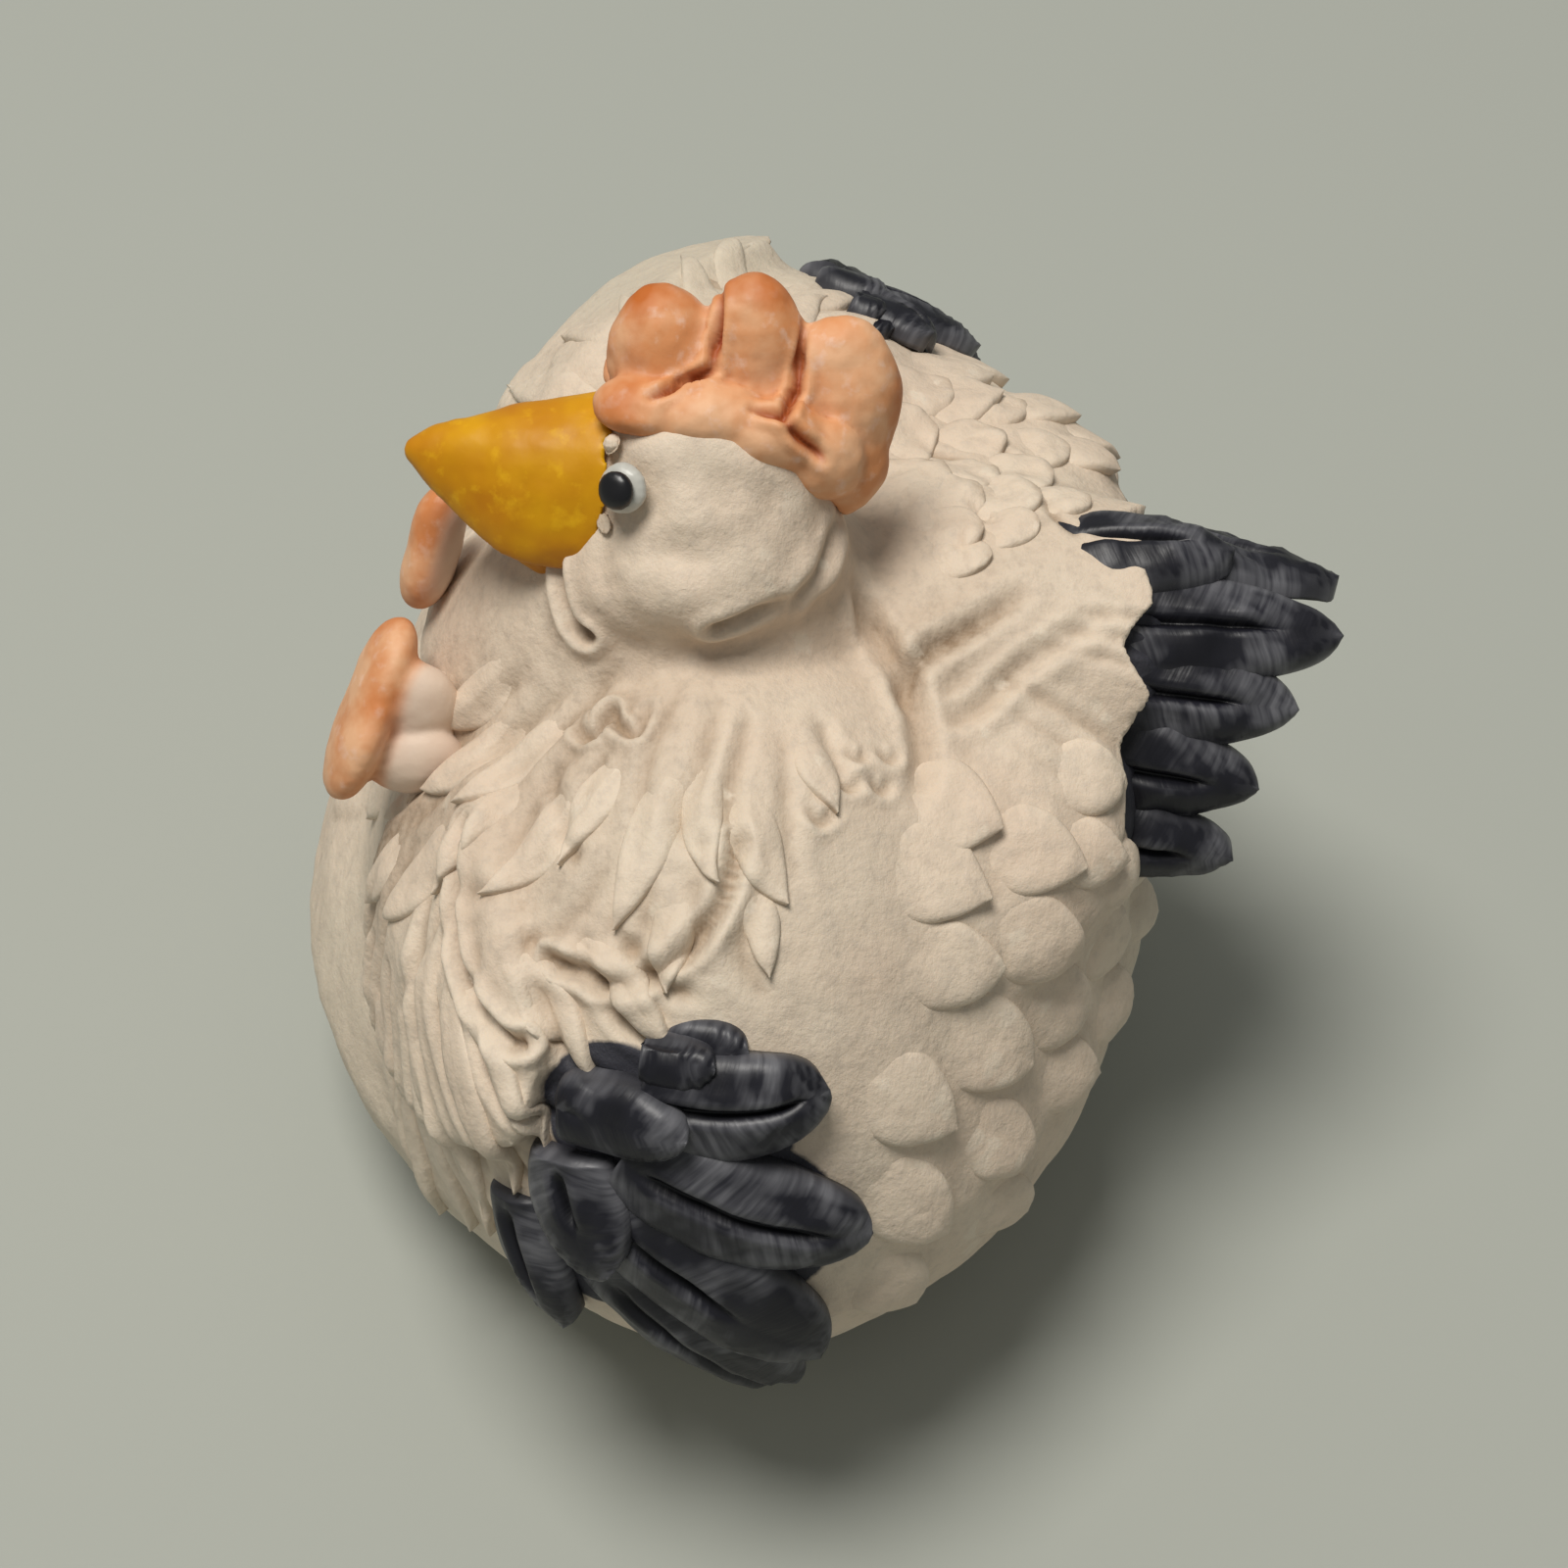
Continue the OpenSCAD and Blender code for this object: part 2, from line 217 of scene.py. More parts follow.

# %% [markdown]
# The white clay is warm and faintly pink, greyer and greener where it was handled. Brown stain and painted
# shade lie in the creases: the sculpting code below writes how deep each point lies in a crease to the
# attribute named stain. The brown could be painted on by hand afterwards, but written this way it follows
# every stroke by itself. Pointiness adds more painted shade in the hollows and a painted highlight on the
# ridges.

# %% White clay
def white_clay():
    paint = Paint("white_clay", 0.62)
    blotches = paint.noise(0.11, detail=3)
    specks = paint.noise(1.3, detail=5, rough=0.7)
    cool = paint.noise(0.035, detail=1)
    base = paint.mix(paint.ramp(blotches, 0.35, 0.68), (0.66, 0.53, 0.41), (0.70, 0.59, 0.465))
    base = paint.mix(paint.math("MULTIPLY", paint.ramp(cool, 0.5, 0.68), 0.5), base, (0.56, 0.52, 0.41))
    base = paint.mix(paint.math("MULTIPLY", paint.ramp(specks, 0.48, 0.72), 0.55), base, (0.50, 0.42, 0.34))
    # Brown stain with painted shade, darker where the sculpting wrote crease depth.
    stain = paint.attribute("stain")
    patchy = paint.math("MULTIPLY", stain, paint.math("ADD", paint.ramp(specks, 0.2, 0.75), 0.25))
    base = paint.mix(paint.ramp(patchy, 0.0, 1.0), base, (0.20, 0.125, 0.065))
    # Painted shade: pointiness turns the hollows brown. Painted highlight: pointiness makes the ridges
    # paler.
    base = paint.mix(paint.math("MULTIPLY", paint.hollow(), 0.6), base, (0.34, 0.24, 0.155))
    base = paint.mix(paint.math("MULTIPLY", paint.hollow(0.51, 0.58), 0.35), base, (0.78, 0.69, 0.56))
    black = paint.attribute("black")
    base = paint.mix(paint.ramp(paint.math("ADD", black, paint.math("MULTIPLY", specks, 0.35)), 0.5, 0.8),
                     base, (0.035, 0.035, 0.045))
    paint.colour(base)
    paint.bump(paint.noise(0.5, detail=5, rough=0.65), 0.30, 0.7)
    paint.bump(specks, 0.08, 0.7)
    paint.shader.inputs["Subsurface Weight"].default_value = 0.06
    paint.shader.inputs["Subsurface Radius"].default_value = (0.0012, 0.0008, 0.0005)
    paint.shader.inputs["Specular IOR Level"].default_value = 0.35
    return paint.material


WHITE = white_clay()

# %% [markdown]
# The black feathers are charcoal clay. Grey paint was brushed over them almost dry, so it caught the high
# ribs and left the grooves black. A painted highlight adds grey on the rims and ridges, and painted shade
# makes the hollows black. The feather's own map says where a point lies: U across it and V from root to tip.

# %% Black feather clay
def black_clay():
    paint = Paint("black_feather_clay", 0.42)
    spread = paint.add("ShaderNodeUVMap", uv_map="feather").outputs["UV"]
    barbs = paint.noise(0.001, detail=2, rough=0.5, stretch=(0.35, 2.6, 1), vector=spread)
    brushed = paint.noise(0.30, detail=2, rough=0.5)
    groove = paint.attribute("stain")
    rim = paint.attribute("rim")
    dry = paint.math("MULTIPLY", paint.ramp(brushed, 0.45, 0.62), paint.ramp(barbs, 0.22, 0.66))
    # Painted highlight: grey on the leaf rims and, by pointiness, on the ridges. Painted shade: black in the
    # hollows.
    dry = paint.math("ADD", dry, paint.math("MULTIPLY", rim, 0.30))
    dry = paint.math("ADD", dry, paint.math("MULTIPLY", paint.hollow(0.52, 0.60), 0.35))
    dry = paint.math("SUBTRACT", dry, paint.math("MULTIPLY", groove, 1.5))
    dry = paint.math("SUBTRACT", dry, paint.hollow(0.49, 0.42))
    base = paint.mix(paint.ramp(brushed, 0.35, 0.65), (0.006, 0.006, 0.010), (0.016, 0.016, 0.024))
    base = paint.mix(paint.ramp(dry, 0.05, 1.1), base, (0.125, 0.125, 0.138))
    base = paint.mix(paint.ramp(groove, 0.25, 0.7), base, (0.002, 0.002, 0.004))
    paint.colour(base)
    paint.bump(barbs, 0.07, 0.5)
    paint.bump(paint.noise(0.9, detail=3), 0.05, 0.5)
    paint.shader.inputs["Specular IOR Level"].default_value = 0.4
    return paint.material


BLACK = black_clay()

# %% [markdown]
# The comb and wattles are salmon clay with an orange wash, redder on rubbed edges (the attribute rim), and
# darker red in the creases from stain and painted shade. One side of each wattle was left bare. The beak is
# egg yellow, with painted shade in rust brown in its hollows. The eyes are small shiny beads, so they only
# need a faint cloud in their colour and gloss.

# %% Comb, beak and eye paints
def comb_paint():
    paint = Paint("comb_clay", 0.55)
    wash = paint.noise(0.20, detail=4, rough=0.6)
    fine = paint.noise(1.1, detail=4)
    base = paint.mix(paint.ramp(wash, 0.40, 0.60), (0.76, 0.43, 0.24), (0.68, 0.28, 0.11))
    base = paint.mix(paint.ramp(fine, 0.56, 0.82), base, (0.80, 0.54, 0.41))
    rubbed = paint.math("ADD", paint.attribute("rim"), paint.math("MULTIPLY", wash, 0.7))
    base = paint.mix(paint.ramp(rubbed, 0.52, 0.92), base, (0.50, 0.13, 0.02))
    # Brown-red stain with painted shade in the creases, then painted shade from pointiness in the hollows.
    base = paint.mix(paint.ramp(paint.attribute("stain"), 0.05, 0.75), base, (0.28, 0.05, 0.012))
    base = paint.mix(paint.math("MULTIPLY", paint.hollow(), 0.7), base, (0.36, 0.09, 0.02))
    base = paint.mix(paint.attribute("bare"), base, (0.72, 0.62, 0.52))
    paint.colour(base)
    paint.bump(paint.noise(0.5, detail=4), 0.16, 0.5)
    paint.bump(fine, 0.04, 0.4)
    paint.shader.inputs["Specular IOR Level"].default_value = 0.35
    return paint.material


def beak_paint():
    paint = Paint("beak_clay", 0.48)
    wash = paint.noise(0.22, detail=3, rough=0.6)
    fine = paint.noise(0.9, detail=4)
    base = paint.mix(paint.ramp(wash, 0.35, 0.68), (0.64, 0.31, 0.001), (0.50, 0.19, 0.001))
    base = paint.mix(paint.ramp(fine, 0.55, 0.85), base, (0.82, 0.47, 0.008))
    thick = paint.noise(0.13, detail=2)
    base = paint.mix(paint.math("MULTIPLY", paint.ramp(thick, 0.48, 0.62), 0.6), base, (0.45, 0.14, 0.004))
    base = paint.mix(paint.ramp(paint.math("ADD", paint.attribute("rim"), paint.math("MULTIPLY", wash, 0.4)),
                                0.55, 1.1), base, (0.47, 0.15, 0.004))
    base = paint.mix(paint.ramp(paint.attribute("stain"), 0.2, 1.0), base, (0.20, 0.06, 0.01))
    # Painted shade: rust brown in the hollows.
    base = paint.mix(paint.math("MULTIPLY", paint.hollow(), 0.7), base, (0.30, 0.10, 0.006))
    paint.colour(base)
    paint.bump(paint.noise(0.6, detail=3), 0.10, 0.45)
    paint.bump(fine, 0.03, 0.4)
    paint.shader.inputs["Specular IOR Level"].default_value = 0.3
    return paint.material


def eye_paint(name, colour, roughness):
    paint = Paint(name, roughness)
    cloud = paint.noise(0.8, detail=2)
    paint.colour(paint.mix(paint.ramp(cloud, 0.35, 0.7), colour, tuple(c * 0.8 for c in colour)))
    paint.rough(paint.ramp(cloud, -roughness * 3, 2.5))
    return paint.material


COMB = comb_paint()
BEAK = beak_paint()
EYE = eye_paint("eye_bead", (0.56, 0.55, 0.50), 0.2)
PUPIL = eye_paint("pupil_bead", (0.008, 0.008, 0.010), 0.15)

# %% [markdown]
# Every lump starts as a copy of its plain solids, melted together by a voxel remesh and smoothed, as
# fingers smooth one lump into the next. A Boolean union would leave hard seams. This way leaves an even
# net of small squares that the strokes below can press.

# %% Melt lumps together
def finished(name, mesh, material, nodes, slot):
    """Makes the mesh a smooth, painted piece that rides on the body, in place of its plain solids."""
    obj = bpy.data.objects.new(name, mesh)
    bpy.context.scene.collection.objects.link(obj)
    mesh.materials.clear()
    mesh.materials.append(material)
    mesh.polygons.foreach_set("use_smooth", [True] * len(mesh.polygons))
    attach(obj, "root")
    if nodes:
        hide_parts(*nodes)
    print(f"{name}: {len(mesh.polygons)} faces, {slot}")


def melted(nodes, voxel_mm, rounds, factor=0.5, lumps=()):
    """lumps are extra balls of clay: (centre, radii) in mm."""
    bm = bmesh.new()
    for node in nodes:
        bm.from_mesh(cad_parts[node].data)
    bmesh.ops.remove_doubles(bm, verts=bm.verts, dist=0.002 * MM)
    for centre, radii in lumps:
        place = Matrix.Translation(Vector(centre) * MM) @ Matrix.Diagonal((*(Vector(radii) * MM), 1))
        bmesh.ops.create_uvsphere(bm, u_segments=24, v_segments=16, radius=1, matrix=place)
    lump = bpy.data.meshes.new("lump")
    bm.to_mesh(lump)
    bm.free()
    obj = bpy.data.objects.new("lump", lump)
    bpy.context.scene.collection.objects.link(obj)
    remesh = obj.modifiers.new("melt", "REMESH")
    remesh.mode = "VOXEL"
    remesh.voxel_size = voxel_mm * MM
    smooth = obj.modifiers.new("thumb", "SMOOTH")
    smooth.factor = factor
    smooth.iterations = rounds
    graph = bpy.context.evaluated_depsgraph_get()
    mesh = bpy.data.meshes.new_from_object(obj.evaluated_get(graph))
    bpy.data.objects.remove(obj)
    return mesh


# %% [markdown]
# Skin holds a mesh's points as arrays, so that a stroke over ten thousand points is one line. groove()
# presses a line into the clay and heaps a small lip beside it. petal() raises a leaf whose root melts into
# the clay and whose tip ends in a sharp step. Both write brown to stain: stain with painted shade along the
# groove, and painted shade just outside the petal's raised edge.

# %% Strokes
OUTSIDE = 80  # mm from the heart, well clear of the hen


def ease(x, low, high):
    """0 below low, 1 above high, and a smooth step between."""
    t = np.clip((x - low) / (high - low), 0, 1)
    return t * t * (3 - 2 * t)


def ray_tree(points, mesh):
    return BVHTree.FromPolygons([Vector(p) for p in points], [p.vertices[:] for p in mesh.polygons])


class Skin:
    """A mesh's points in mm as arrays, with the paint marks that go with them."""

    def __init__(self, mesh, heart):
        self.mesh = mesh
        self.heart = heart
        count = len(mesh.vertices)
        self.place = np.empty(count * 3)
        mesh.vertices.foreach_get("co", self.place)
        self.place = self.place.reshape(-1, 3) / MM
        self.normal = np.empty(count * 3)
        mesh.vertices.foreach_get("normal", self.normal)
        self.normal = self.normal.reshape(-1, 3)
        self.start = self.place.copy()
        self.stain = np.zeros(count)
        self.black = np.zeros(count)
        self.rim = np.zeros(count)
        self.bare = np.zeros(count)
        self.tree = ray_tree(self.start, mesh)

    def spot(self, turn, rise, heart=None):
        """The outermost point of the smooth skin seen from the heart, in mm, and its normal."""
        heart = heart or self.heart
        d = direction(turn, rise)
        hit = self.tree.ray_cast(heart + d * OUTSIDE, -d)
        return hit[0], hit[1]

    def near(self, centre, reach):
        return np.nonzero(((self.start - np.array(centre)) ** 2).sum(1) < reach * reach)[0]

    def line(self, spots, heart=None, steps=40):
        """A smooth run of points on the skin through the given (turn, rise) spots."""
        pts = []
        for k in range(len(spots) - 1):
            before = spots[max(k - 1, 0)]
            a, b = spots[k], spots[k + 1]
            after = spots[min(k + 2, len(spots) - 1)]
            for i in range(steps):
                t = i / steps
                pts.append([0.5 * (2 * a[j] + (b[j] - before[j]) * t
                                   + (2 * before[j] - 5 * a[j] + 4 * b[j] - after[j]) * t * t
                                   + (3 * a[j] - before[j] - 3 * b[j] + after[j]) * t ** 3) for j in (0, 1)])
        pts.append(list(spots[-1]))
        return np.array([self.spot(t, r, heart)[0] for t, r in pts])

    def groove(self, spots, width=0.5, depth=0.4, stain=0.3, lip=0.35, heart=None, points=None):
        path = self.line(spots, heart) if points is None else np.array(points)
        middle = path.mean(0)
        reach = np.sqrt(((path - middle) ** 2).sum(1).max()) + width * 4
        chosen = self.near(middle, reach)
        gap = np.sqrt(((self.start[chosen, None] - path[None]) ** 2).sum(2))
        nearest = gap.argmin(1)
        away = gap.min(1)
        along = nearest / max(len(path) - 1, 1)
        taper = np.sin(np.pi * np.clip(along * 0.94 + 0.03, 0, 1)) ** 0.6
        cut = np.exp(-(away / width) ** 2) * taper
        heap = np.exp(-((away - 2 * width) / width) ** 2) * taper
        self.place[chosen] += self.normal[chosen] * (lip * depth * heap - depth * cut)[:, None]
        # Brown stain with painted shade along the groove.
        wash = stain * np.exp(-(away / (width * 0.8)) ** 2) * taper
        self.stain[chosen] = np.maximum(self.stain[chosen], wash)

    def petal(self, root, tip, half_width, height, point=2.0, stain=0.25, soft=0.32, ramp=(0.0, 0.8),
              shoulder=0.45):
        """point 2 rounds the tip, nearer 1 sharpens it."""
        a, na = self.spot(*root)
        b, nb = self.spot(*tip)
        up = (na + nb).normalized()
        along = b - a
        length = along.length
        along.normalize()
        side = up.cross(along).normalized()
        chosen = self.near((a + b) / 2, length * 0.5 + half_width + 2)
        rel = self.start[chosen] - np.array(a)
        facing = self.normal[chosen] @ np.array(up) > 0.1
        s = rel @ np.array(along) / length
        x = np.abs(rel @ np.array(side))
        body = half_width * (0.7 + 0.3 * ease(s, 0, shoulder))
        end = (1 - shoulder) * length
        u = np.clip((s - shoulder) * length / end, 0, 3)
        f = (u ** point + np.clip(x / body, 0, 5) ** point) ** (1 / point)
        inside = (1 - f) * min(end, half_width)
        ramped = ease(s, *ramp)
        lift = height * ramped * ease(inside, -soft * 0.5, soft * 0.5) * facing
        self.place[chosen] += self.normal[chosen] * lift[:, None]
        # Painted shade: brown just outside the petal's raised edge, where its step shades the clay.
        edge = np.exp(-((inside + soft * 0.8) / (soft * 0.9)) ** 2) * ramped * facing * (s > 0)
        self.stain[chosen] = np.maximum(self.stain[chosen] * (1 - ease(inside, 0, soft)), stain * edge)

    def dent(self, centre, reach, depth):
        chosen = self.near(centre, reach * 2.5)
        away = np.sqrt(((self.start[chosen] - np.array(centre)) ** 2).sum(1)) / reach
        self.place[chosen] -= self.normal[chosen] * (depth * np.exp(-away ** 2))[:, None]

    def lumps(self, size, height, seed):
        """Uneven thumb marks all over."""
        offset = Vector((seed * 7.3, seed * 3.1, seed * 1.7))
        bumps = np.array([noise.noise(Vector(p) / size + offset) for p in self.start])
        self.place += self.normal * (bumps * height)[:, None]

    def pressed(self):
        self.mesh.vertices.foreach_set("co", (self.place * MM).ravel())
        for name in ("stain", "black", "rim", "bare"):
            layer = self.mesh.attributes.new(name, "FLOAT", "POINT")
            layer.data.foreach_set("value", getattr(self, name))
        self.mesh.update()
        return self.mesh


# %% [markdown]
# The strokes are listed first, because the skin needs smaller squares wherever a stroke will run. Each
# stroke is a line of (turn, rise) spots, seen from the heart of the body or from the heart of the head.
#
# The head is nearly plain. A baggy cheek fold runs from under the beak to the back of the neck, and the
# jowl above it is a soft roll.

# %% Cheek and neck strokes
HEART = Vector((0, 0, 18.86))  # the middle of the body, in mm
HEAD_HEART = Vector((0.5, -4, 46))  # the middle of the head
STROKES = []


def stroke(spots, width=0.5, depth=0.4, stain=0.3, lip=0.35, heart=HEART):
    STROKES.append((spots, width, depth, stain, lip, heart))


stroke([(-66, -16), (-51, -24), (-40, -29), (-30, -29), (-8, -23), (12, -17), (30, -15)], 0.42, 0.65, 0.6,
       0.8, HEAD_HEART)
stroke([(35, -17), (55, -12), (75, -8)], 0.5, 0.35, 0.2, 0.6, HEAD_HEART)
stroke([(-20, 8), (2, 4), (22, 6)], 0.8, 0.22, 0.0, 0.6, HEAD_HEART)
stroke([(-38, 2), (-34, -8), (-24, -14)], 0.7, 0.2, 0.05, 0.6, HEAD_HEART)

# %% [markdown]
# The deep crease where the neck folds over the back, and the lines that set off the tail root.

# %% Neck and back creases
stroke([(50, 76), (45, 71), (40, 62), (33, 53), (28, 49)], 0.6, 0.7, 0.35, 0.5)
stroke([(36, 60), (48, 63), (60, 62), (76, 59)], 0.55, 0.6, 0.7, 0.5)
stroke([(40, 55), (50, 54), (62, 54), (76, 51)], 0.5, 0.35, 0.1, 0.8)

# %% [markdown]
# Feathers of the cape hang from the neck. Knife lines run down it, shallow at the neck and deeper at the
# ends. The sharp leaf ends are laid on later as leaves of their own.

# %% The cape
CAPE_LINES = [
    [(-22, 62), (-20, 52), (-16, 44)], [(-12, 62), (-11, 53), (-12, 46)], [(-40, 60), (-42, 50), (-45, 40)],
    [(-33, 56), (-36, 47), (-35, 38)], [(-29, 52), (-28, 45), (-30, 37)], [(-37, 47), (-28, 43), (-24, 41)],
    [(-46, 40), (-39, 33), (-31, 36)], [(-14, 52), (-10, 47), (-6, 46)], [(-4, 60), (-5, 51), (-2, 45)],
    [(4, 58), (4, 50), (5, 44)], [(-50, 48), (-53, 38), (-56, 28)], [(-58, 52), (-61, 42), (-64, 30)],
    [(-48, 54), (-52, 44), (-55, 36)], [(-60, 36), (-62, 26), (-66, 18)], [(-52, 28), (-50, 18), (-49, 8)],
    [(-42, 34), (-40, 25), (-41, 16)], [(-68, 42), (-71, 32), (-75, 24)], [(12, 60), (14, 55), (15, 51)],
    [(-20, 42), (-22, 36), (-27, 31)], [(-8, 43), (-6, 38), (-8, 33)], [(-56, 20), (-57, 10), (-58, 0)],
    [(-14, 42), (-13, 37), (-17, 31)], [(-64, 22), (-66, 12), (-66, 2)], [(0, 42), (-1, 37), (2, 33)],
]
for k, spots in enumerate(CAPE_LINES):
    stroke(spots, 0.42 + 0.05 * (k % 4), 0.26 + 0.05 * (k % 3), 0.18 + 0.06 * (k % 3), 0.3)
stroke([(-39, 53), (-36, 52), (-33, 53), (-34, 56), (-30, 55), (-25, 55), (-26, 58)], 0.3, 0.5, 0.55, 0.7)
for turn, rise in ((18, 55), (25, 54), (15, 52), (21, 51), (9, 49)):
    stroke([(turn - 2, rise + 1), (turn, rise - 0.5), (turn + 2.5, rise)], 0.3, 0.3, 0.2, 0.6)

# %% [markdown]
# The shoulder is combed into long curved fingers that point at the wing's black feathers.

# %% Shoulder fingers
SHOULDER = [
    [(-45, 30), (-40, 22), (-34, 14), (-26, 7)], [(-38, 30), (-34, 22), (-27, 15), (-20, 10)],
    [(-31, 30), (-27, 24), (-22, 20), (-16, 18)], [(-26, 33), (-21, 28), (-17, 25), (-12, 24)],
    [(-20, 35), (-15, 31), (-11, 29), (-6, 29)], [(-40, 16), (-36, 8), (-32, 1), (-26, -5)],
    [(-46, 16), (-42, 6), (-38, -4), (-33, -12)], [(-50, 6), (-46, -4), (-42, -12), (-38, -18)],
    [(-35, 13), (-31, 7), (-27, 2), (-23, -2)], [(-16, 37), (-10, 34), (-6, 33)],
    [(-54, 12), (-51, 2), (-47, -8)],
]
for k, spots in enumerate(SHOULDER):
    stroke(spots, 0.42, 0.45, 0.3 + 0.1 * (k % 2), 0.4)

# %% [markdown]
# The back and the tail root. Flaky petals lie on the back, and their shadows are painted in brown. The tail
# root is brushed with long strokes that run out to the black feathers.

# %% Back flakes and tail root
# Painted shadow: short brown creases beside the back petals.
for k, (turn, rise) in enumerate(((124, 66), (118, 60), (104, 64), (100, 56), (138, 58), (131, 52),
                                  (88, 67))):
    stroke([(turn - 7, rise - 1.5), (turn, rise), (turn + 6, rise - 0.5 + k % 3)], 0.3, 0.25, 0.5, 0.3)
for k in range(8):
    turn, rise = 48 + 6.1 * k - 1.5 * (k % 3), 50 - 2 * abs(k - 3)
    stroke([(turn, rise + 5 + k % 3), (turn + 3.5, rise - 2), (turn + 6, rise - 10)], 0.32,
           0.10 + 0.05 * (k % 3), 0.06, 0.3)

# %% [markdown]
# Now the body, neck, tail root and wing pads melt into one skin. Squares near a stroke are cut in four, and
# then the strokes are pressed. The skin is painted darker brown in the hollow of the breast and around the
# cape's leaf ends.

# %% The hen's white skin
def refine(mesh, wanted):
    bm = bmesh.new()
    bm.from_mesh(mesh)
    edges = {e for f in bm.faces if wanted(f.calc_center_median() / MM) for e in f.edges}
    bmesh.ops.subdivide_edges(bm, edges=list(edges), cuts=1, use_grid_fill=True)
    bm.to_mesh(mesh)
    bm.free()
    mesh.update()
    return mesh


skin_mesh = melted(["torso", "tail_root", "left_wing", "right_wing", "neck_and_head"], 0.46, 12)
coarse = Skin(skin_mesh, HEART)
paths = np.concatenate([coarse.line(spots, heart) for spots, *_, heart in STROKES])
path_tree = KDTree(len(paths))
for index, point in enumerate(paths):
    path_tree.insert(point, index)
path_tree.balance()
refine(skin_mesh, lambda c: path_tree.find(c)[2] < 1.3)
skin = Skin(skin_mesh, HEART)
for spots, width, depth, stain, lip, heart in STROKES:
    skin.groove(spots, width, depth, stain, lip, heart)
print("white skin:", len(skin_mesh.polygons), "squares, from", len(STROKES), "strokes")
for turn, rise, size in ((4, 46, 1.2), (43, 22, 1.0), (20, 30, 1.4), (58, -4, 1.3)):
    skin.dent(skin.spot(turn, rise, HEAD_HEART)[0], size, 0.25)
skin.dent(skin.spot(-40, 24, HEAD_HEART)[0], 1.9, 0.5)
for turn, rise, size in ((-36, -20, 2.4), (-12, -15, 2.6), (8, -9, 2.4)):
    skin.dent(skin.spot(turn, rise, HEAD_HEART)[0], size, -0.5)
skin.dent(skin.spot(178, 42)[0], 12, 1.2)
for turn, rise, size, amount in ((-59, 21, 3.4, 0.75), (-52, 34, 4, 0.3), (-34, 55, 4.5, 0.3),
                                 (-28, 42, 6, 0.22),
                                 (-66, 34, 5, 0.25), (-74, 50, 4, 0.2), (110, 60, 8, 0.2),
                                 (56, 62, 4, 0.25)):
    away = np.linalg.norm(skin.start - np.array(skin.spot(turn, rise)[0]), axis=1) / size
    skin.stain += amount * np.exp(-away ** 2)

# %% [markdown]
# The flank swells softly where petals are pressed on in rows; the petals themselves are laid on later.

# %% Flank swells
FLANK = [  # root, tip, half width; the rows nearest the wing first
    ((26, 50), (37, 42), 2.5), ((18, 44), (31, 36), 2.5), ((34, 42), (45, 34), 2.4),
    ((17, 35), (30, 29), 2.4), ((30, 33), (41, 25), 2.5), ((44, 38), (52, 31), 2.2),
    ((20, 26), (31, 16), 2.3), ((33, 23), (43, 15), 2.4), ((48, 31), (58, 25), 2.2),
    ((46, 22), (55, 15), 2.3), ((22, 15), (29, 6), 2.2), ((33, 13), (42, 5), 2.3),
    ((11, 25), (20, 16), 2.1), ((10, 15), (18, 6), 2.1), ((46, 11), (54, 4), 2.2), ((10, 5), (15, -3), 2.0),
    ((22, 4), (29, -4), 2.0), ((60, 24), (68, 17), 2.2), ((60, 14), (67, 6), 2.2),
    ((50, 44), (59, 38), 1.9),
]
for root, tip, half_width in FLANK:
    for side in (LEFT, RIGHT):
        a, b = ((t if side > 0 else 180 - t, r) for t, r in (root, tip))
        skin.petal(a, b, half_width + 0.3, 0.16, 2.0, stain=0.06, soft=0.7, ramp=(0.15, 0.7))
for side_turn in (-96, -108, -120, -132, -144):
    for rise in (44, 30, 16, 2):
        shift = 5 if rise in (30, 2) else 0
        skin.petal((side_turn + shift, rise + 6), (side_turn + shift, rise - 9), 2.4, 0.25, 1.3, stain=0.15)

# %% [markdown]
# The tail feathers come out of a torn white cuff. Points beyond a zigzag line round the tail are pushed
# inwards and blackened. That is simpler than cutting the mesh, and the skin stays closed.

# %% The jagged cuff
TAIL_AXIS = np.array((0, 18, 34.0))
around = np.arctan2(skin.start[:, 0], skin.start[:, 2] - TAIL_AXIS[2] + 6)
teeth = 0.9 * np.abs(((around * 2.6 + 0.3) % 1) * 2 - 1) + 0.4 * np.sin(around * 11)
past = skin.start[:, 1] - (18.6 + teeth - 0.6 * np.abs(around))
at_tail = (skin.start[:, 2] > 29.0) * (skin.start[:, 1] > 12)
sunk = ease(past, -0.15, 0.35) * at_tail
inward = TAIL_AXIS + np.array((0, -4, -2)) - skin.start
inward /= np.linalg.norm(inward, axis=1)[:, None]
skin.place += inward * (1.5 * sunk)[:, None]
skin.black = np.maximum(skin.black, ease(past, 0.1, 0.4) * at_tail)

# %% [markdown]
# No white may show between the black wing feathers. A black wash on the skin under the fan does that
# without another piece.

# %% Black under the wing feathers
for side in (LEFT, RIGHT):
    for turn, rise, size in ((-12, 21, 4.5), (-4, 21, 5), (-10, 13, 5), (0, 12, 5.5), (-14, 5, 4),
                             (-4, 2, 5)):
        if side < 0:
            turn, rise, size = 164 - turn * 0.85, rise + 13, size * 0.8
        away = np.linalg.norm(skin.start - np.array(skin.spot(turn, rise)[0]), axis=1) / size
        skin.black = np.maximum(skin.black, 1.2 * ease(-away, -1.0, -0.75))

# %% [markdown]
# Clay pressed by hand is never quite even. Noise at three sizes moves the whole skin in and out, a fourth
# is for the head alone, and the flat base is put back afterwards.

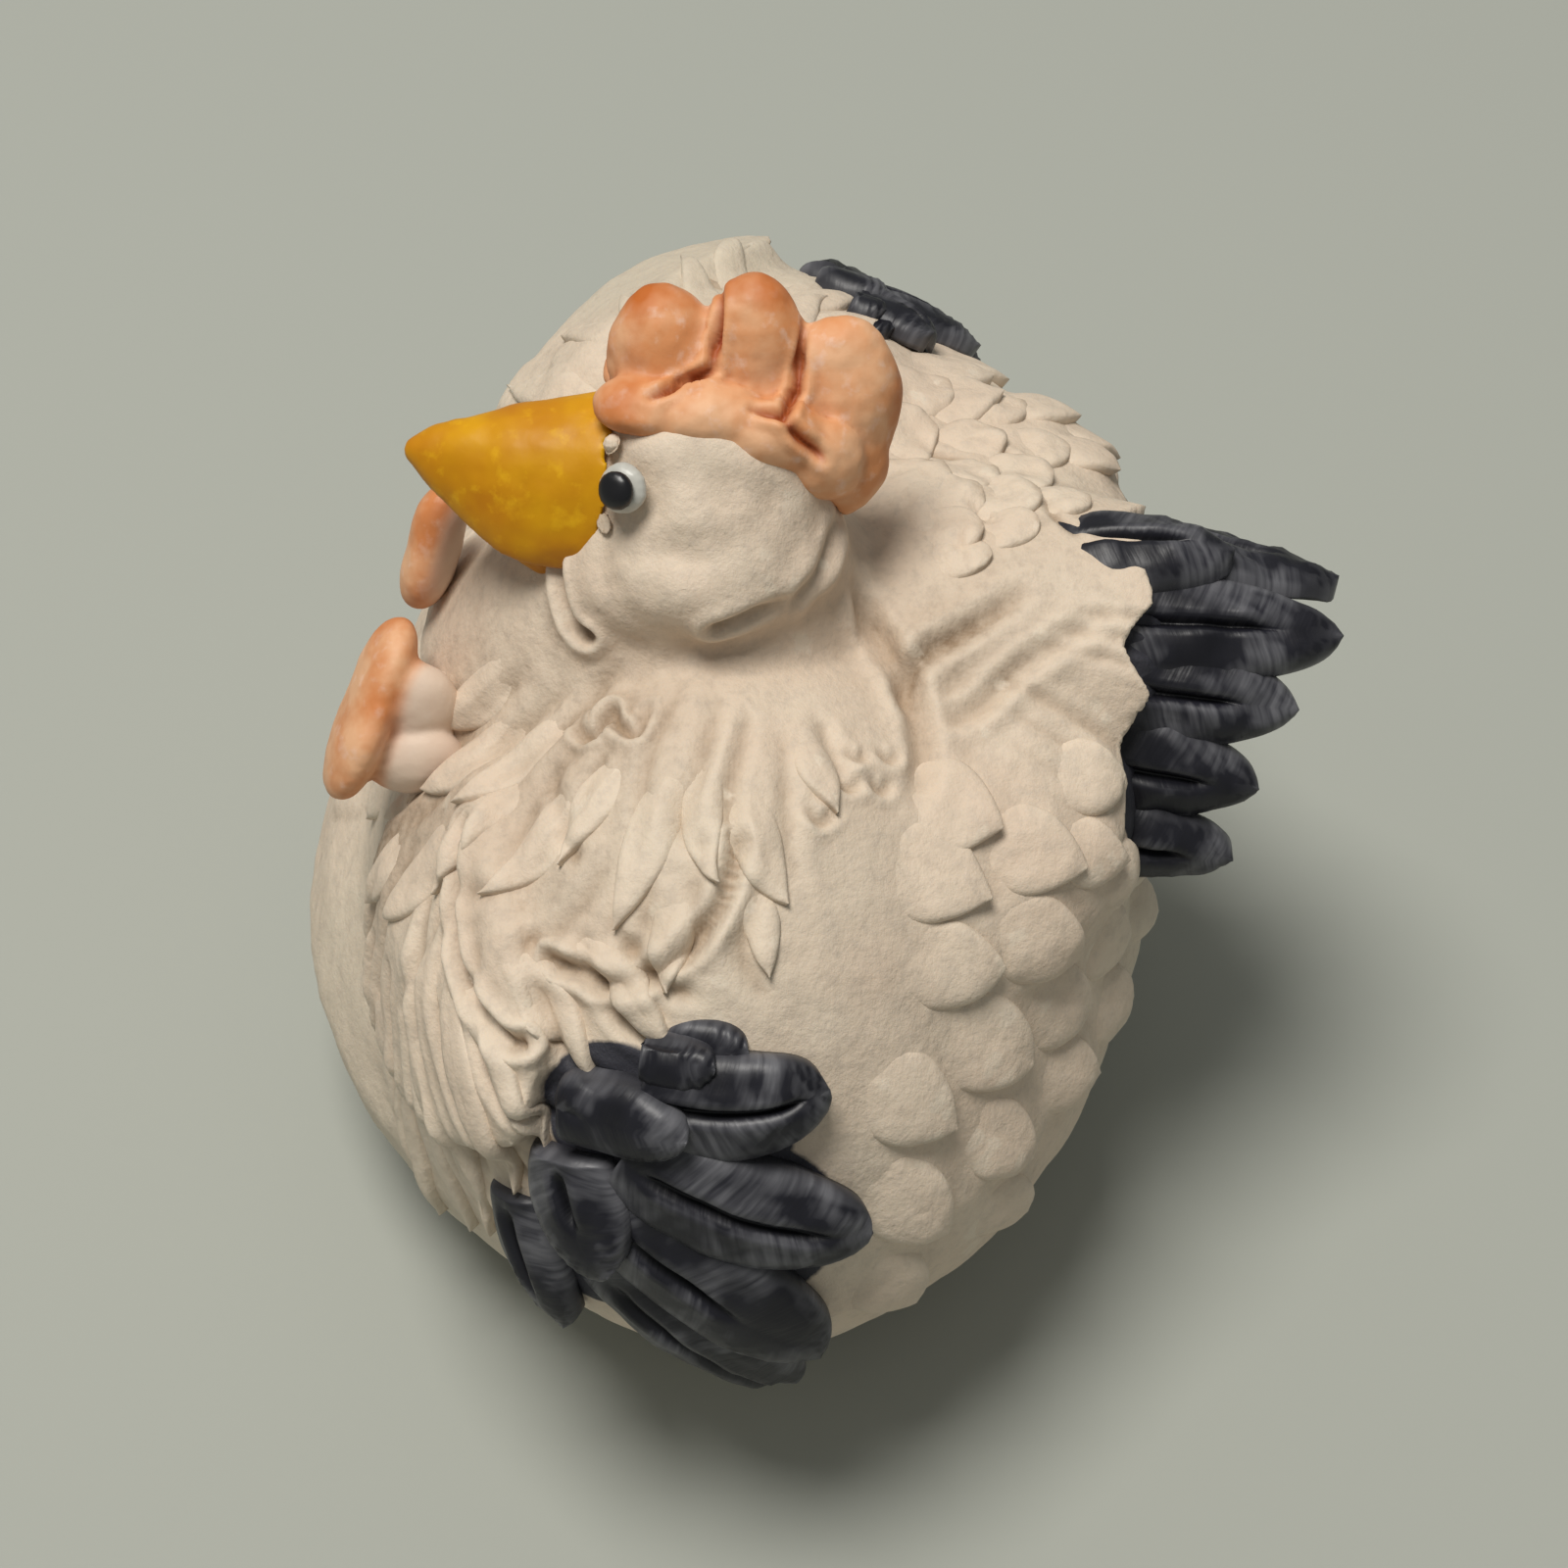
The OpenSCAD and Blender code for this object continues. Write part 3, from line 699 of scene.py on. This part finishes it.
# %% Thumb marks
head_only = ease(skin.start[:, 2], 40, 43)
before = skin.place.copy()
skin.lumps(1.5, 0.16, 4)
skin.place = before + (skin.place - before) * head_only[:, None]
skin.lumps(6.0, 0.22, 1)
skin.lumps(2.2, 0.08, 2)
skin.lumps(0.9, 0.035, 3)
low = skin.start[:, 2] < 0.6
skin.place[low, 2] = np.maximum(skin.start[low, 2], 0)
finished("hen_skin", skin.pressed(), WHITE,
         ["torso", "neck_and_head", "tail_root", "left_wing", "right_wing"],
         "white_clay")
HEN_TREE = ray_tree(skin.place, skin_mesh)


# %% [markdown]
# A feather is a net of points shaped into a leaf, laid on the skin. It has a quill groove, slanting
# barbs, a rounded rim, and a tip that lifts clear so that a dark gap shows under it. A leaf could be
# modelled once and copied, but each one here has to follow the skin under it, so each is laid on its own.

# %% Leaves
def smooth_net(net, rounds):
    for _ in range(rounds):
        padded = np.pad(net, ((1, 1), (1, 1)) + ((0, 0),) * (net.ndim - 2), mode="edge")
        net = (padded[:-2, 1:-1] + padded[2:, 1:-1] + padded[1:-1, :-2] + padded[1:-1, 2:] + 2 * net) / 6
    return net


def unit_rows(a):
    return a / np.maximum(np.linalg.norm(a, axis=-1, keepdims=True), 1e-9)


def outline(s, power, start):
    """Half widths from root to tip. power 0.5 is round, 1 is pointed; start 0 closes the root too."""
    return np.maximum(np.sin(math.pi * (start + (1 - start) * s)) ** power, 0.05)


class Leaf:
    """One leaf: where its middle line runs and how its two faces are shaped."""

    def __init__(self, half_width, thick=1.0, lift=(-0.6, 0.6), rising=1.4, power=0.5, start=0.2, quill=0.0,
                 quill_end=0.8, barbs=0.0, open_tip=0.8, sag=0.0, wave=0.1, flat=4, edge_stain=0.0, calm=6,
                 seed=1, across=23, along=30):
        self.__dict__.update({k: v for k, v in locals().items() if k != "self"})
        self.s = 1 - (1 - np.linspace(0, 1, along)) ** 1.35
        u = np.linspace(-1, 1, across)
        self.t = u - 0.7 * np.sin(2 * math.pi * u) / (2 * math.pi)
        self.width = half_width * outline(self.s, power, start)

    def on_body(self, root, tip, bend=0.0):
        """Lays the leaf on the hen's skin, from one (turn, rise) spot to another."""
        turn, rise = tip[0] - root[0], tip[1] - root[1]
        centre = []
        for s in self.s:
            swing = bend * 4 * s * (1 - s)
            d = direction(root[0] + turn * s - rise * swing, root[1] + rise * s + turn * swing)
            centre.append(HEN_TREE.ray_cast(HEART + d * OUTSIDE, -d)[0])
        centre = smooth_net(np.array(centre)[:, None], 4)[:, 0]
        along = unit_rows(np.gradient(centre, axis=0))
        out = unit_rows(centre - np.array(HEART))
        side = unit_rows(np.cross(out, along))
        rough = centre[:, None] + side[:, None] * (self.width[:, None] * self.t[None])[..., None]
        points, normals = np.empty_like(rough), np.empty_like(rough)
        for index in np.ndindex(rough.shape[:2]):
            d = (Vector(rough[index]) - HEART).normalized()
            hit = HEN_TREE.ray_cast(HEART + d * OUTSIDE, -d)
            points[index] = (hit[0] - HEART).length
            normals[index] = hit[1]
        way = unit_rows(rough - np.array(HEART))
        points = np.array(HEART) + way * smooth_net(points, self.calm)
        return points, unit_rows(smooth_net(normals, 8) + 0.3 * way), centre

    def in_air(self, root, tip, roll, bow=0.0):
        """roll 0 lies flat with its face up; positive roll turns the face towards the hen's left."""
        root, tip = Vector(root), Vector(tip)
        axis = (tip - root).normalized()
        side = axis.cross(Vector((0, 0, 1))).normalized()
        side = Matrix.Rotation(math.radians(roll), 3, axis) @ side
        face = side.cross(axis)
        centre = np.array([root.lerp(tip, s) + face * bow * 4 * s * (1 - s) for s in self.s])
        points = centre[:, None] + np.array(side) * (self.width[:, None] * self.t[None])[..., None]
        return points, np.broadcast_to(np.array(face), points.shape).copy(), centre

    def shape(self, points, centre):
        """For each point: how far across, the length, the height of both faces, stain with painted shade,
        and rim for the painted highlight.
        """
        s, t = self.s[:, None], self.t[None]
        length = np.linalg.norm(np.diff(centre, axis=0), axis=1).sum()
        x = t * self.width[:, None]
        lift = self.lift[0] + (self.lift[1] - self.lift[0]) * s ** self.rising
        edge = np.sqrt(1 - np.abs(t) ** self.flat) * (1 - 0.35 * ease(s, 0.8, 1.0))
        offset = Vector((self.seed, 0, 0))
        marks = np.array([[noise.noise(Vector(p) / 1.6 + offset) for p in row] for row in points])
        slant = (s * length - np.abs(x) * 0.45) / 0.55 + marks * 1.2
        inner = ease(np.abs(t), 0.12, 0.3) * (1 - ease(np.abs(t), 0.8, 1.0)) * ease(s, 0.35, 0.7)
        ribs = np.sin(slant * 2 * math.pi) * inner
        reach = ease(s, 0.1, 0.2) * (1 - ease(s, self.quill_end - 0.12, self.quill_end + 0.05))
        line = np.exp(-(x / (0.12 + 0.2 * (1 - s))) ** 2) * reach
        heap = np.exp(-((np.abs(x) - 0.6) / 0.35) ** 2) * reach
        top = (lift + self.thick * edge + self.barbs * ribs - self.quill * line + 0.4 * self.quill * heap
               + self.wave * marks - self.sag * t ** 2)
        opened = ease(s, 0.4, 0.8) * self.open_tip
        under = np.minimum(-0.7 * (1 - opened) + (lift - 0.15 - self.sag * t ** 2) * opened, top - 0.12)
        stain = np.clip(line * (self.quill > 0) + np.clip(-ribs, 0, 1) * 0.2 * (self.barbs > 0), 0, 1)
        # Brown stain with painted shade along the leaf's rim and tip.
        stain = np.maximum(stain,
                           self.edge_stain * np.clip(ease(np.abs(t), 0.8, 1) + ease(s, 0.88, 1.0), 0, 1))
        rim = np.clip(ease(np.abs(t), 0.62, 0.95) + ease(s, 0.8, 1.0), 0, 1) * np.ones_like(x)
        return x, length, top, under, stain, rim

    def add(self, bm, laid):
        """Builds the leaf as an upper and a lower net of squares, joined round the border."""
        points, normals, centre = laid
        x, length, top, under, stain, rim = self.shape(points, centre)
        rows, columns = x.shape
        stain_layer = bm.verts.layers.float.get("stain") or bm.verts.layers.float.new("stain")
        rim_layer = bm.verts.layers.float.get("rim") or bm.verts.layers.float.new("rim")
        uv = bm.loops.layers.uv.get("feather") or bm.loops.layers.uv.new("feather")
        faces = []
        for height, mark in ((top, 1.0), (under, 0.0)):
            verts = []
            for index in np.ndindex(rows, columns):
                v = bm.verts.new((points[index] + normals[index] * height[index]) * MM)
                v[stain_layer] = float(stain[index]) * mark
                v[rim_layer] = float(rim[index]) * mark
                verts.append(v)
            faces.append(verts)
        upper, lower = faces

        def quad(*corners):
            face = bm.faces.new([verts[k] for verts, k in corners])
            for loop, (_, k) in zip(face.loops, corners):
                i, j = divmod(k, columns)
                loop[uv].uv = (x[i, j] + 40 * self.seed, self.s[i] * length - abs(x[i, j]) * 0.45)

        for i in range(rows - 1):
            for j in range(columns - 1):
                a, b = i * columns + j, i * columns + j + 1
                c, d = b + columns, a + columns
                quad((upper, a), (upper, b), (upper, c), (upper, d))
                quad((lower, d), (lower, c), (lower, b), (lower, a))
        border = ([j for j in range(columns)] + [i * columns + columns - 1 for i in range(1, rows)]
                  + [(rows - 1) * columns + j for j in range(columns - 2, -1, -1)]
                  + [i * columns for i in range(rows - 2, 0, -1)])
        for a, b in zip(border, border[1:] + border[:1]):
            quad((upper, b), (upper, a), (lower, a), (lower, b))


def leaf_piece(name, leaves, material, nodes, slot):
    bm = bmesh.new()
    for leaf, laid in leaves:
        leaf.add(bm, laid)
    bmesh.ops.recalc_face_normals(bm, faces=bm.faces)
    mesh = bpy.data.meshes.new(name)
    bm.to_mesh(mesh)
    bm.free()
    finished(name, mesh, material, nodes, slot)


# %% [markdown]
# Nine black feathers fan out from each shoulder: five long ones first, then four short coverts that lie
# over their roots. The right wing is the same fan, turned a little towards the tail and lifted higher.

# %% Wing feathers
WING = {  # number: (root, tip, half width, bend, root lift, tip lift, where the quill ends)
    9: ((-13, 5), (4, -13), 2.7, 0.05, -0.5, 1.3, 0.9), 8: ((-12, 12), (6, -1), 3.3, 0.04, -0.1, 1.4, 0.6),
    7: ((-11, 19), (10, 12), 3.0, -0.03, 0.2, 1.5, 0.85),
    5: ((-8, 28.5), (0, 29), 1.6, 0.0, -0.5, 0.1, 0.2),
    6: ((-10, 24.5), (7, 26), 2.7, -0.06, 0.3, 1.4, 0.85),
    4: ((-22, 8), (-15, -4), 2.2, -0.05, -0.2, 1.1, 0.7),
    2: ((-10, 27.5), (-3, 28), 1.4, 0.0, 0.3, 1.0, 0.2),
    3: ((-16, 17), (-10, 8), 2.8, -0.1, 0.5, 1.7, 0.55), 1: ((-17, 21), (-5, 22), 2.0, 0.05, 0.5, 1.6, 0.2),
}


def on_side(side, spot):
    return spot if side > 0 else (165 - spot[0] * 0.75, spot[1] + 13)


for side in (LEFT, RIGHT):
    for number, (root, tip, half_width, bend, lift_root, lift_tip, quill_end) in WING.items():
        leaf = Leaf(half_width * (1 if side > 0 else 0.8), 0.95,
                    (lift_root, lift_tip * (1 if side > 0 else 0.6)),
                    power=0.36, start=0.16, quill=0.55, quill_end=quill_end, barbs=0.05, sag=0.3, wave=0.14,
                    flat=5, seed=number, calm=6 if side > 0 else 16)
        laid = leaf.on_body(on_side(side, root), on_side(side, tip), bend * side)
        name = f"{SIDE_NAMES[side]}_wing_feather_{number}"
        leaf_piece(name, [(leaf, laid)], BLACK, [name], "black_feather_clay")

# %% [markdown]
# The tail is a tent of blades, the middle one on the ridge and four down each side.

# %% Tail feathers
TAIL = [  # root, tip, half width, roll
    ((3.0, 14.6, 38.2), (1.8, 29.4, 36.2), 3.1, 28), ((5.4, 14.6, 36.2), (4.8, 27.2, 34.0), 3.1, 48),
    ((7.8, 14.4, 33.2), (7.6, 25.4, 31.0), 2.9, 60), ((9.6, 14, 29.8), (9.8, 24.4, 27.8), 2.6, 72),
]


def tail_leaf(half_width, seed):
    return Leaf(half_width, 1.0, (-0.2, 0.1), power=0.46, start=0.3, quill=0.5, quill_end=0.75, barbs=0.05,
                open_tip=1, sag=0.5, wave=0.3, flat=5, seed=seed)


leaf = tail_leaf(2.8, 3)
leaf_piece("tail_feather_centre", [(leaf, leaf.in_air((-0.6, 14.2, 39.5), (-0.8, 23.6, 39.2), 0, 0.5))],
           BLACK, ["tail_feather_centre"], "black_feather_clay")
for side in (LEFT, RIGHT):
    for k, (root, tip, half_width, roll) in enumerate(TAIL):
        leaf = tail_leaf(half_width, k + 5)
        laid = leaf.in_air((root[0] * side, *root[1:]), (tip[0] * side, *tip[1:]), roll * side, 0.4)
        name = f"{SIDE_NAMES[side]}_tail_feather_{k + 1}"
        leaf_piece(name, [(leaf, laid)], BLACK, [name], "black_feather_clay")

# %% [markdown]
# White petals are thin leaves whose roots sink into the clay and whose ends stand a little proud: round
# ones on the flank, ragged flakes on the back, pointed ones on the cape and shoulder.

# %% White petals
BACK = [  # root, tip, half width
    ((136, 77), (129, 62), 2.9), ((116, 74), (112, 62), 2.5), ((96, 72), (94, 64), 2.2),
    ((152, 63), (144, 54), 2.8), ((128, 65), (122, 56), 2.6), ((110, 65), (108, 56), 2.4),
    ((97, 65), (97, 58), 2.1), ((158, 53), (152, 44), 2.6), ((140, 57), (134, 49), 2.6),
    ((122, 57), (117, 50), 2.3), ((146, 48), (140, 40), 2.5), ((130, 50), (126, 43), 2.3),
    ((108, 57), (105, 51), 2.0), ((168, 66), (158, 55), 2.8), ((84, 70), (84, 63), 1.9),
]
CAPE = [  # root, tip, half width, bend
    ((-16, 55), (-16, 37), 1.5, 0.05), ((-24, 54), (-26, 40), 1.2, -0.12), ((-9, 56), (-5, 43), 1.2, -0.08),
    ((-2, 55), (4, 41), 1.3, -0.12), ((-31, 50), (-34, 34), 1.5, 0.1), ((-44, 55), (-48, 37), 1.4, 0.12),
    ((-54, 50), (-58, 32), 1.5, 0.08), ((-62, 54), (-67, 37), 1.5, 0.05), ((6, 59), (12, 49), 1.2, 0.0),
    ((-38, 47), (-42, 29), 1.3, -0.08), ((-48, 38), (-50, 20), 1.4, 0.08), ((-10, 43), (-9, 33), 1.1, 0.0),
    ((-64, 35), (-68, 18), 1.5, 0.05), ((-72, 44), (-77, 27), 1.6, 0.0), ((-56, 30), (-58, 14), 1.4, 0.05),
    ((0, 44), (2, 35), 1.1, 0.0),
]
FINGERS = [
    ((-40, 26), (-21, 8.5), 1.3, 0.12), ((-34, 27), (-18, 15.5), 1.2, 0.12),
    ((-30, 31), (-14, 22.5), 1.3, 0.12), ((-22, 35), (-7, 27.5), 1.2, 0.1),
    ((-43, 18), (-25, -3), 1.3, 0.1), ((-47, 10), (-30, -11), 1.3, 0.1), ((-51, 2), (-37, -18), 1.3, 0.1),
]


def mirrored(side, spot):
    return spot if side > 0 else (180 - spot[0], spot[1])


def petals(name, spots, sides, nodes, tip_lift, thick=0.45, power=0.55, start=0.12, edge_stain=0.0,
           wave=0.10, across_to=mirrored):
    leaves = []
    for k, (root, tip, half_width, *bend) in enumerate(spots):
        pick = random.Random(k * 7 + len(spots))
        for side in sides:
            leaf = Leaf(half_width * pick.uniform(0.85, 1.1), thick, (-0.2 - thick, tip_lift), 0.9,
                        power * pick.uniform(0.8, 1.3), start, open_tip=0.4, sag=0.08, calm=2, wave=wave,
                        flat=6, edge_stain=edge_stain, seed=k + 11, across=17)
            a, b = across_to(side, root), across_to(side, tip)
            leaves.append((leaf, leaf.on_body(a, b,
                                              ((bend or [0.0])[0] + pick.uniform(-0.06, 0.06)) * side)))
    leaf_piece(name, leaves, WHITE, nodes, "white_clay")


for side in (LEFT, RIGHT):
    name = f"{SIDE_NAMES[side]}_flank_scales"
    petals(name, FLANK, (side,), [name], 0.42, 0.45, 0.65)
# The back flakes' edges are painted brown: stain with painted shade.
petals("back_scales", BACK, (LEFT,), ["back_scales"], 0.18, 0.4, 0.4, 0.2, edge_stain=0.5, wave=0.35)
petals("cape_leaves", CAPE, (LEFT, RIGHT), [], 0.22, 0.38, 0.9, 0.1, edge_stain=0.1)
petals("shoulder_fingers", FINGERS, (LEFT, RIGHT), [], 0.35, 0.45, 0.9, 0.1,
       across_to=lambda side, spot: on_side(side, (spot[0] + (0 if side > 0 else 4), spot[1])))
petals("breast_tufts", [((-84, 30), (-84, 17), 1.7), ((-78, 18), (-78, 6), 1.7)], (LEFT, RIGHT),
       ["breast_tufts"],
       0.25, 0.4, 0.9, 0.1)

# %% [markdown]
# Comb, beak, wattles, beads and eyes keep the shapes of their plain solids, melted soft, with their own
# strokes. The comb is one lump of three lobes over the crown. Its creases run down both sides, so each is
# found by rays from the side, and small balls of clay fill it out where it meets the head.

# %% Comb
def soft_copy(name, nodes, voxel_mm, rounds, strokes, material, slot, bumps=0.12, lumps=()):
    mesh = melted(nodes, voxel_mm, rounds, lumps=lumps)
    low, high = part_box(nodes[0])
    lump = Skin(mesh, (low + high) / 2 / MM)
    strokes(lump)
    lump.lumps(2.2, bumps, 5)
    lump.lumps(0.8, bumps * 0.4, 6)
    finished(name, lump.pressed(), material, nodes, slot)


COMB_CREASES = [  # how far back and how far up, on the head
    [(1.0, 9.4), (0.9, 7.5), (0.7, 5.7)], [(-2.2, 4.7), (-0.4, 5.1), (0.8, 5.7)],
    [(4.4, 3.9), (5.2, 3.0), (6.3, 1.9)], [(5.0, 7.4), (4.9, 4.8), (4.3, 4.0), (2.8, 4.2)],
]
HEAD_TURN = Matrix.Rotation(math.radians(-26), 3, "Y")


def comb_strokes(lump):
    """Creases between the lobes, and orange where a thumb rubbed the tops and the back edge."""
    for line in COMB_CREASES:
        for side in (LEFT, RIGHT):
            points = []
            for (y0, z0), (y1, z1) in zip(line, line[1:]):
                for i in range(25):
                    y, z = y0 + (y1 - y0) * i / 24, z0 + (z1 - z0) * i / 24
                    hit = lump.tree.ray_cast(HEAD_HEART + HEAD_TURN @ Vector((12 * side, y, z)),
                                             HEAD_TURN @ Vector((-side, 0, 0)))
                    if hit[0]:
                        points.append(tuple(hit[0]))
            lump.groove(None, 0.27, 0.6, 1.0, 0.4, points=points)
    high = lump.start @ np.array((-0.44, 0, 0.9))
    back = lump.start[:, 1]
    lump.rim[:] = np.clip(0.55 * ease(high, high.max() - 2.6, high.max() - 0.2) + 0.45 * ease(back, 4.2, 6.4)
                          + 0.35 * ease(-back, 6.0, 7.2) - 0.05, 0, 1)


COMB_LUMPS = [((-1.9, -3.7, 50.9), (2.3, 2.6, 2.1)), ((-1.3, 0.9, 49.8), (2.5, 2.6, 2.1))]
for x, y, z, radii in ((2.6, -2.6, 3.9, (1.9, 2.6, 1.3)), (2.9, 0.6, 3.6, (1.9, 3.0, 1.5)),
                       (2.8, 3.6, 2.6, (1.9, 3.0, 1.9)), (2.1, 6.2, 1.2, (1.9, 2.2, 2.4))):
    for side in (LEFT, RIGHT):
        COMB_LUMPS.append((HEAD_HEART + HEAD_TURN @ Vector((x * side, y, z)), radii))
soft_copy("comb", ["comb_saddle", "comb_lobe_front", "comb_lobe_middle", "comb_lobe_rear"], 0.18, 13,
          comb_strokes, COMB, "comb_clay", 0.16, COMB_LUMPS)

# %% [markdown]
# The beak is two halves of yellow clay. Both are drawn down into a deep wedge by one smooth push, so that
# they stay shut.

# %% Beak
def beak_strokes(lump):
    """The lower jaw is a deep wedge, and the paint is redder at the tip."""
    back = lump.start[:, 1]
    low = lump.start @ np.array((0.6, 0, -0.8)) + 36.2
    amount = 2.5 * ease(low, -1.5, 3.5) * ease(back, -19.2, -14.6) * (1 - 0.45 * ease(back, -13, -8))
    lump.place += np.array((0.58, 0, -0.81)) * amount[:, None]
    lump.rim[:] = 0.55 * ease(-back, 15.5, 18.5) + 0.35 * ease(low, 1.5, 3.5)


soft_copy("upper_beak", ["upper_beak"], 0.2, 4, beak_strokes, BEAK, "beak_clay", 0.10)
soft_copy("lower_beak", ["lower_beak"], 0.2, 4, beak_strokes, BEAK, "beak_clay", 0.10)

# %% [markdown]
# The wattles are two flattened drops of comb clay. The left one is built up behind with two balls of
# clay, so that it sits on the breast.

# %% Wattles
def wattle_strokes(lump):
    """The side next to the chest was left unpainted."""
    out = (lump.start - lump.start.mean(0)) @ np.array((0.3, 0.95, 0))
    lump.rim[:] = 0.25
    lump.bare[:] = 0.8 * ease(out, 0.4, 1.3)
    back, high = lump.start[:, 1], lump.start[:, 2]
    lump.place[:, 1] += 0.22 * (back - back.mean()) - 0.10 * (high.mean() - high)


WATTLE_BACKS = {LEFT: [((7.2, -19.2, 34.0), (1.9, 2.2, 3.0)), ((9.0, -18.8, 32.0), (1.7, 2.2, 2.2))],
                RIGHT: []}
for side in (LEFT, RIGHT):
    name = f"{SIDE_NAMES[side]}_wattle"
    soft_copy(name, [name], 0.2, 5, wattle_strokes, COMB, "comb_clay", 0.10, WATTLE_BACKS[side])

# %% [markdown]
# The eyes are beads with a dot of black, and rows of tiny clay balls hide the joint between beak and
# face. Each is pushed in or out a little along its normals, so that it sits in its place after the
# melting.

# %% Eyes and beads
for side in (LEFT, RIGHT):
    for part, material, slot, push in (("eye", EYE, "eye_bead", -0.15), ("pupil", PUPIL, "pupil_bead", 0.14),
                                       ("beak_beads", WHITE, "white_clay", -0.25)):
        name = f"{SIDE_NAMES[side]}_{part}"
        lump = Skin(melted([name], 0.1, 3, 0.4), HEAD_HEART)
        lump.place += lump.normal * push
        lump.lumps(0.9, 0.06, 7)
        finished(name, lump.pressed(), material, [name], slot)

# %% [markdown]
# Last, the size of the finished hen is set beside the size of its plain model in one table, so that the two
# can be compared, and the finished size is printed.

# %% Sizes and finish
visual = [obj for obj in bpy.context.scene.objects if obj.type == "MESH" and obj.name != "floor"
          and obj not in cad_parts.values()]
corners = np.array([obj.matrix_world @ v.co for obj in visual for v in obj.data.vertices])
sizes = {"cad": [list(CAD_BOX[0]), list(CAD_BOX[1])],
         "visual": [corners.min(0).tolist(), corners.max(0).tolist()]}
print("finished hen in mm:", [[round(v / MM, 1) for v in corner] for corner in sizes["visual"]])
print("pieces:", len(visual), "triangles:", sum(2 * len(obj.data.polygons) for obj in visual))
